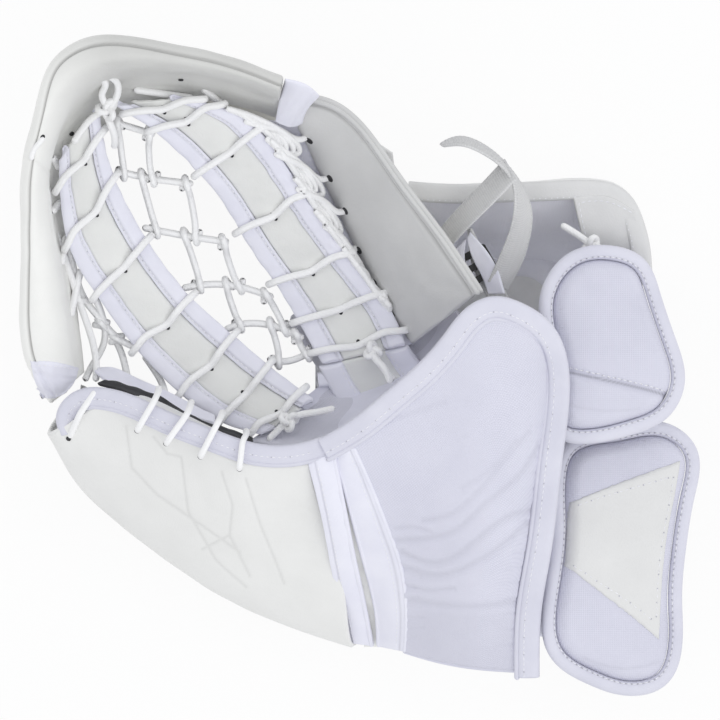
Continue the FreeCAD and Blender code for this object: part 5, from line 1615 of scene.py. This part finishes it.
def back_cuff_rails():
    line = plan(
        (29, 108), (53, 106.5), (82, 107), (112, 108), (138, 108.5), (150, 106), (159, 99), (165, 87),
        (169, 72), (170.5, 56),
    )
    return [
        line + step(0, 0, BACK_HIGH), line + step(1, 1.5, BACK_HIGH * 0.4), line + step(0, -5, 7.0),
        rail((34, 71.6, 2), (56, 70.5, 2), (92, 68.4, 2), (124, 65.6, 2), (138, 60, 2), (145, 50, 2),
             (149, 40, 2)),
    ]


def make_back_cuff():
    grid = lattice(back_cuff_rails(), 90, 180)
    rows, columns = grid.shape[:2]
    way = normals(grid)
    if way[0, columns // 2][1] < 0:
        way = -way
    inner = grid - way * BACK_PADDED * MM
    pile = Pile()
    size = rows * columns
    over = grid + way * swell(grid, 60, 0.6, 101)[..., None]
    under = grid - way * BACK_THICK * MM
    index = [i * columns + j for i, j in border(rows, columns)]
    faces = strip_faces(rows, columns)
    faces += [tuple(reversed(face)) for face in strip_faces(rows, columns, start=size)]
    for k in range(len(index)):
        n = (k + 1) % len(index)
        faces.append((index[n], index[k], size + index[k], size + index[n]))
    u, v = surface_sizes(grid)
    weave = np.stack([u.ravel(), v.ravel()], axis=1)
    pile.add(np.concatenate([over, under]), faces, np.concatenate([weave, weave]))
    pile.piece("cuff_back_cover", BACK_LEATHER, "hand", "leather", ("back_cuff_shell",), padded=0.6)

    pile, thread = Pile(), Pile()
    edge = mix(grid[0], inner[0], 0.62)
    sweep(pile, edge + step(0, 0, -0.8), lens(11.6, 2.4, 14, 0.42))
    _, side, rise = frames(edge, UP)
    stitches(thread, edge + side * 4.2 * MM + rise * 0.9 * MM, rise, *BACK_SEAM)
    pile.piece("cuff_back_edge", EDGE_SHADED_LEATHER, "hand", "leather")
    thread.piece("cuff_back_stitches", THREAD, "hand", "lace")

    # the lining leans inwards from under the edge to the floor of the cuff
    pile = Pile()
    inward = unit((inner[-1] - inner[0]) * LEVEL)
    lip = inner[0] - step(0, 0, 2.0)
    foot = inner[-1] * LEVEL + UP * 12 * MM
    middles = [mix(lip, foot, share) + UP * lift * MM for share, lift in ((0.34, 5), (0.68, 3))]
    last = foot + inward * 9 * MM - UP * 5 * MM
    soft = lattice([lip + inward * 0.5 * MM, *middles, foot, last], 70, 180)
    shell(pile, soft, BACK_THICK, swell(soft, 40, 0.8, 102) + swell(soft, 13, 0.25, 104))
    pile.piece("cuff_back_lining", LIT_LINING, "hand", "lining_fabric", ("back_cuff_lining",))

    pile, thread = Pile(), Pile()
    rails = [
        rail((125.5, 99.5, 79), (145, 100.5, 80), (161, 92.5, 80)),
        rail((128.5, 86, 76), (147, 85, 78), (165, 80, 79)),
        rail((134, 62, 68), (152, 62, 71), (168.5, 58, 75)),
    ]
    grid = lattice(rails, 50, 60)
    over, up = shell(pile, grid, THIN_LEATHER, swell(grid, 20, 0.25, 103))
    pile.piece("cuff_back_tab", EDGE_SHADED_LEATHER, "hand", "leather", ("back_cuff_patch",))
    row, rise = (np.concatenate([side[4:-3, 4][::-1], side[4, 4:-3]]) for side in (over, up))
    stitches(thread, row, rise, *BACK_TAB_SEAM)
    thread.piece("cuff_back_tab_stitches", THREAD, "hand", "lace")


def round_box(length, width, radius, count):
    """Evenly spaced points round a flat box with round corners, sizes in mm."""
    half = np.array([length / 2 - radius, width / 2 - radius])
    points = []
    for turn, (sx, sy) in enumerate(((1, 1), (-1, 1), (-1, -1), (1, -1))):
        for k in range(9):
            angle = (turn + k / 8) * math.pi / 2
            x, y = sx * half[0] + radius * math.cos(angle), sy * half[1] + radius * math.sin(angle)
            points.append((x, y, 0))
    points = np.array(points) * MM
    return pick(np.concatenate([points, points[:1]]), np.arange(count) / count)


# The cuff's floor, between its inner and outer edges.
FLOOR_OUTER = plan(
    (166, 32), (170, 10), (172, -40), (166, -110), (150, -150), (100, -157), (60, -149), (36.5, -111),
)
FLOOR_INNER = plan(
    (126, 31.5), (126, 0), (126, -40), (125, -68), (110, -78), (84, -81), (60, -80), (41, -77),
)
FLOOR_THICK = 6.2
QUILT_ROWS = -40, -14, 14, 40  # where the pad at the back of the hand is stitched down


def make_back_pad():
    outline = round_box(150, 128, 18, 200)
    (middle,) = plan((50, 2))
    rows = [np.array([[-75, y, 0], [75, y, 0]]) * MM for y in QUILT_ROWS]

    def relief(top):
        total = swell(top, 40, 0.25, 111)
        for row in rows:
            total += groove(top, pick(row, np.linspace(0, 1, 20)), 1.6, 1.6)
        return total

    pile = Pile()
    padded_block(pile, lambda points: points + middle, outline, 11.2, 7.0, 0.4, relief)
    pile.piece("hand_pad_cover", LIT_LINING, "hand", "lining_fabric", ("back_of_hand_pad",), padded=0.6)

    inner, outer = along(FLOOR_INNER, 160), along(FLOOR_OUTER, 160)
    grid = lattice([inner, outer], 50, 160) + step(0, 0, 6.4)
    floor_relief = swell(grid, 40, 0.4, 112)
    for share in (0.3, 0.6):
        floor_relief += groove(grid, mix(inner, outer, share), 0.9, 1.8)
    pile = Pile()
    shell(pile, grid, FLOOR_THICK, floor_relief)
    pile.piece("cuff_floor_cover", LINING, "hand", "lining_fabric", ("cuff_floor",), padded=0.5)


# Each finger's sleeve: the middle of its opening in plan, and its length in mm.
FINGER_SLEEVES = [(48, 44, 62), (29, 29, 62), (10, 14, 58), (-9, -1, 44)]
SLEEVE_HEIGHT, SLEEVE_BORE, SLEEVE_TURN, SLEEVE_SIDES = 26.1, 20.0, 128.0, 40


def sleeve(pile, place, bore, length, turn):
    """A finger's sleeve, open at its place and closed at its end. turn is its way in plan, in degrees."""
    ahead = np.array([math.cos(math.radians(turn)), math.sin(math.radians(turn)), 0.0])
    side = np.cross(ahead, UP)
    wall = bore / 2
    profile = [(0.0, wall + 0.2), (-0.9, wall + 0.8), (0.4, wall + 1.5)]
    profile += [(length * k / 14, wall + 1.4 + 0.15 * math.sin(k * 2.1)) for k in range(1, 13)]
    profile += [(length - 5, wall + 0.6), (length - 1.6, wall - 3), (length, bore / 4), (length, 0.4)]
    profile += [(length - 1.6, 0.4), (length - 1.8, bore / 4), (length - 5, wall - 2.2), (length - 8, wall)]
    profile += [(length * k / 10, wall) for k in range(8, 0, -1)]
    angle = np.arange(SLEEVE_SIDES) * 2 * math.pi / SLEEVE_SIDES
    ring = np.cos(angle)[:, None] * side + np.sin(angle)[:, None] * UP
    grid = np.stack([place + ahead * x * MM + ring * r * MM for x, r in profile])
    faces = strip_faces(len(profile), SLEEVE_SIDES, closed_rows=True, closed_columns=True)
    lengths = np.cumsum([0] + [math.dist(a, b) for a, b in zip(profile, profile[1:])]) * MM
    weave = np.stack(np.broadcast_arrays((angle * bore / 2 * MM)[None], lengths[:, None]), axis=2)
    pile.add(grid, faces, weave)


def make_stalls():
    pile = Pile()
    for x, y, length in FINGER_SLEEVES:
        sleeve(pile, rail((x, y, SLEEVE_HEIGHT))[0], SLEEVE_BORE, length, SLEEVE_TURN)
    pile.piece("finger_sleeves", LINING, "hand", "lining_fabric", ("finger_stalls",))
    pile = Pile()
    sleeve(pile, rail((-29, -92.5, 82))[0], 25.0, 70.0, 156.0)
    pile.piece("thumb_sleeve", LINING, "thumb", "lining_fabric", ("thumb_stall",))


# The webbing's two edges, run by run, in plan with their heights: it stands on edge round its loop.
FREE_RUN = (
    rail((47.2, 131.6, 126), (60, 136, 116), (74.4, 130.4, 115), (88.7, 117.3, 114), (98.2, 103, 111),
         (101.8, 91, 109), (100.6, 76.7, 104), (95.9, 61.1, 96), (87, 45, 88)),
    rail((48.0, 130.2, 129), (62.4, 130.5, 138), (74.4, 125.2, 137), (82.7, 119.5, 136), (89.9, 110.1, 132),
         (91.7, 103, 130), (91.1, 88.6, 125), (86.3, 73.1, 114), (76, 50, 100)),
)
BACK_RUN = (
    rail((84.5, 122.5, 120), (72, 109, 114), (60, 96.5, 105), (50, 85.5, 96), (43, 77, 91)),
    rail((91, 110.5, 136), (81, 100, 132), (71, 90, 123), (61.5, 80.5, 113), (54, 72, 104)),
)
LOWER_RUN = (
    rail((63.2, 82, 90), (63.6, 73, 88), (65.5, 61.1, 88), (71, 49, 90), (77, 38, 91.5)),
    rail((64.4, 81, 101), (70, 70.5, 99), (76.5, 59.5, 96), (84, 47.5, 92), (90, 37, 91)),
)
BUCKLE_TAPES = (
    [rail((56.2, 69, 99), (58.2, 62, 98), (63, 51.5, 96)),
     rail((62.6, 75.5, 103), (61.6, 64, 99.5), (65.5, 50.3, 97))],
    [rail((63.0, 76, 104), (66.1, 64.4, 101), (71.2, 54.4, 98.5), (75.5, 43.5, 97)),
     rail((64.8, 79, 106), (73.7, 69, 105), (80.7, 57.3, 103), (85, 43.5, 100))],
)
WEBBING_THICK = 2.0


def make_strap_band():
    pile, thread = Pile(), Pile()
    # the lower run has no stitches, since the buckle slides over it
    for (first, second), stitched in ((FREE_RUN, (2, 19)), (BACK_RUN, (2, 19)), (LOWER_RUN, ())):
        grid = lattice([along(first, 170), along(second, 170)], 22, 170)
        across = across_rows(grid, -1, 1)
        ribs = (0.12 * np.cos(across * 14) - 0.3 * np.abs(across) ** 6) * MM
        over, up = shell(pile, grid, WEBBING_THICK, ribs)
        for row in stitched:
            stitches(thread, over[row, 4:-4], up[row, 4:-4], *WEBBING_SEAM)
    pile.piece("wrist_band", WEBBING, "hand", "webbing", ("wrist_strap",))
    thread.piece("wrist_band_edges", WEBBING, "hand", "webbing")
    grids = [lattice(rails, 20, 60) for rails in BUCKLE_TAPES]
    layer(grids, TAPE_THICK, (16, 0.4, 105), "buckle_tape", BINDING, slot="binding_fabric",
          stands_for=("buckle_loop",))


casing_over, casing_up = make_casing()
panel_over, panel_up = make_finger_panel()
make_gusset()
make_finger_back()
for side, inner, outer, wraps in (
    ("right", RIGHT_STRAP_IN, RIGHT_STRAP_OUT, RIGHT_WRAPS),
    ("left", LEFT_STRAP_IN, LEFT_STRAP_OUT, LEFT_WRAPS),
):
    make_strap(side, inner, outer, side == "left")
    make_wraps(side, inner, outer, wraps, side == "left")
make_mesh_laces()
make_side_laces(panel_over, panel_up)
make_knots()
make_heel()
make_strap_tail()
thumb_over, thumb_up = make_thumb()
make_thumb_binding()
make_gap_linings()
make_thumb_laces(thumb_over, thumb_up)
make_rim_tab(casing_over, casing_up)
make_cuff()
make_cuff_side()
make_flaps()
make_back_cuff()
make_back_pad()
make_stalls()
make_strap_band()


# ---- floor, light and camera -----------------------------------------------------------------------


FLOOR_HALF = 6.0
FLOOR_WHITE = 0.92  # how much of the floor's colour is the white that the camera sees, the rest its shadow
CAMERA_AWAY, VIEW_WIDTH, SENSOR = 15.0, 0.4212, 36.0


def make_floor():
    mesh = bpy.data.meshes.new("floor")
    corners = [(x * FLOOR_HALF, y * FLOOR_HALF, 0) for x, y in ((-1, -1), (1, -1), (1, 1), (-1, 1))]
    mesh.from_pydata(corners, [], [(0, 1, 2, 3)])
    floor = bpy.data.objects.new("floor", mesh)
    bpy.context.scene.collection.objects.link(floor)
    made = Nodes("floor_white")
    made.shader.inputs["Base Color"].default_value = (0.86, 0.86, 0.86, 1)
    made.shader.inputs["Roughness"].default_value = 0.9
    glow = made.add("ShaderNodeEmission")
    glow.inputs["Color"].default_value = (1, 1, 1, 1)
    glow.inputs["Strength"].default_value = 1.0
    both = made.add("ShaderNodeMixShader")
    path = made.add("ShaderNodeLightPath")
    seen = made.math("MAXIMUM", path.outputs["Is Camera Ray"], path.outputs["Is Glossy Ray"])
    seen = made.math("MAXIMUM", seen, path.outputs["Is Transmission Ray"])
    made.link(made.math("MULTIPLY", seen, FLOOR_WHITE), both.inputs[0])
    made.link(made.shader.outputs[0], both.inputs[1])
    made.link(glow.outputs[0], both.inputs[2])
    made.link(both.outputs[0], made.tree.nodes["Material Output"].inputs["Surface"])
    mesh.materials.append(made.material)


def make_world():
    world = bpy.data.worlds.new("studio")
    bpy.context.scene.world = world
    world.use_nodes = True
    tree = world.node_tree
    room = tree.nodes["Background"]
    room.inputs["Color"].default_value = (0.97, 0.98, 1.0, 1)
    room.inputs["Strength"].default_value = 0.92
    white = tree.nodes.new("ShaderNodeBackground")
    white.inputs["Color"].default_value = (1, 1, 1, 1)
    path = tree.nodes.new("ShaderNodeLightPath")
    first, second = (tree.nodes.new("ShaderNodeMath") for _ in range(2))
    first.operation = second.operation = "MAXIMUM"
    tree.links.new(path.outputs["Is Camera Ray"], first.inputs[0])
    tree.links.new(path.outputs["Is Glossy Ray"], first.inputs[1])
    tree.links.new(first.outputs[0], second.inputs[0])
    tree.links.new(path.outputs["Is Transmission Ray"], second.inputs[1])
    both = tree.nodes.new("ShaderNodeMixShader")
    tree.links.new(second.outputs[0], both.inputs[0])
    tree.links.new(room.outputs[0], both.inputs[1])
    tree.links.new(white.outputs[0], both.inputs[2])
    tree.links.new(both.outputs[0], tree.nodes["World Output"].inputs["Surface"])


def lamp(name, spot, size, power):
    data = bpy.data.lights.new(name, "AREA")
    data.size, data.energy = size, power
    obj = bpy.data.objects.new(name, data)
    obj.location = spot
    obj.rotation_euler = (Vector((0, 0, 0.08)) - Vector(spot)).to_track_quat("-Z", "Y").to_euler()
    bpy.context.scene.collection.objects.link(obj)


def make_camera():
    data = bpy.data.cameras.new("camera")
    data.lens = SENSOR * CAMERA_AWAY / VIEW_WIDTH
    data.clip_start, data.clip_end = 0.5, 100.0
    camera = bpy.data.objects.new("camera", data)
    camera.location = (-0.00207, 0.00538, 0.1 + CAMERA_AWAY)
    bpy.context.scene.collection.objects.link(camera)
    bpy.context.scene.camera = camera


make_floor()
make_world()
lamp("key", (1.1, -0.3, 2.0), 1.8, 9.0)
make_camera()
bpy.context.scene.view_settings.view_transform = "Standard"
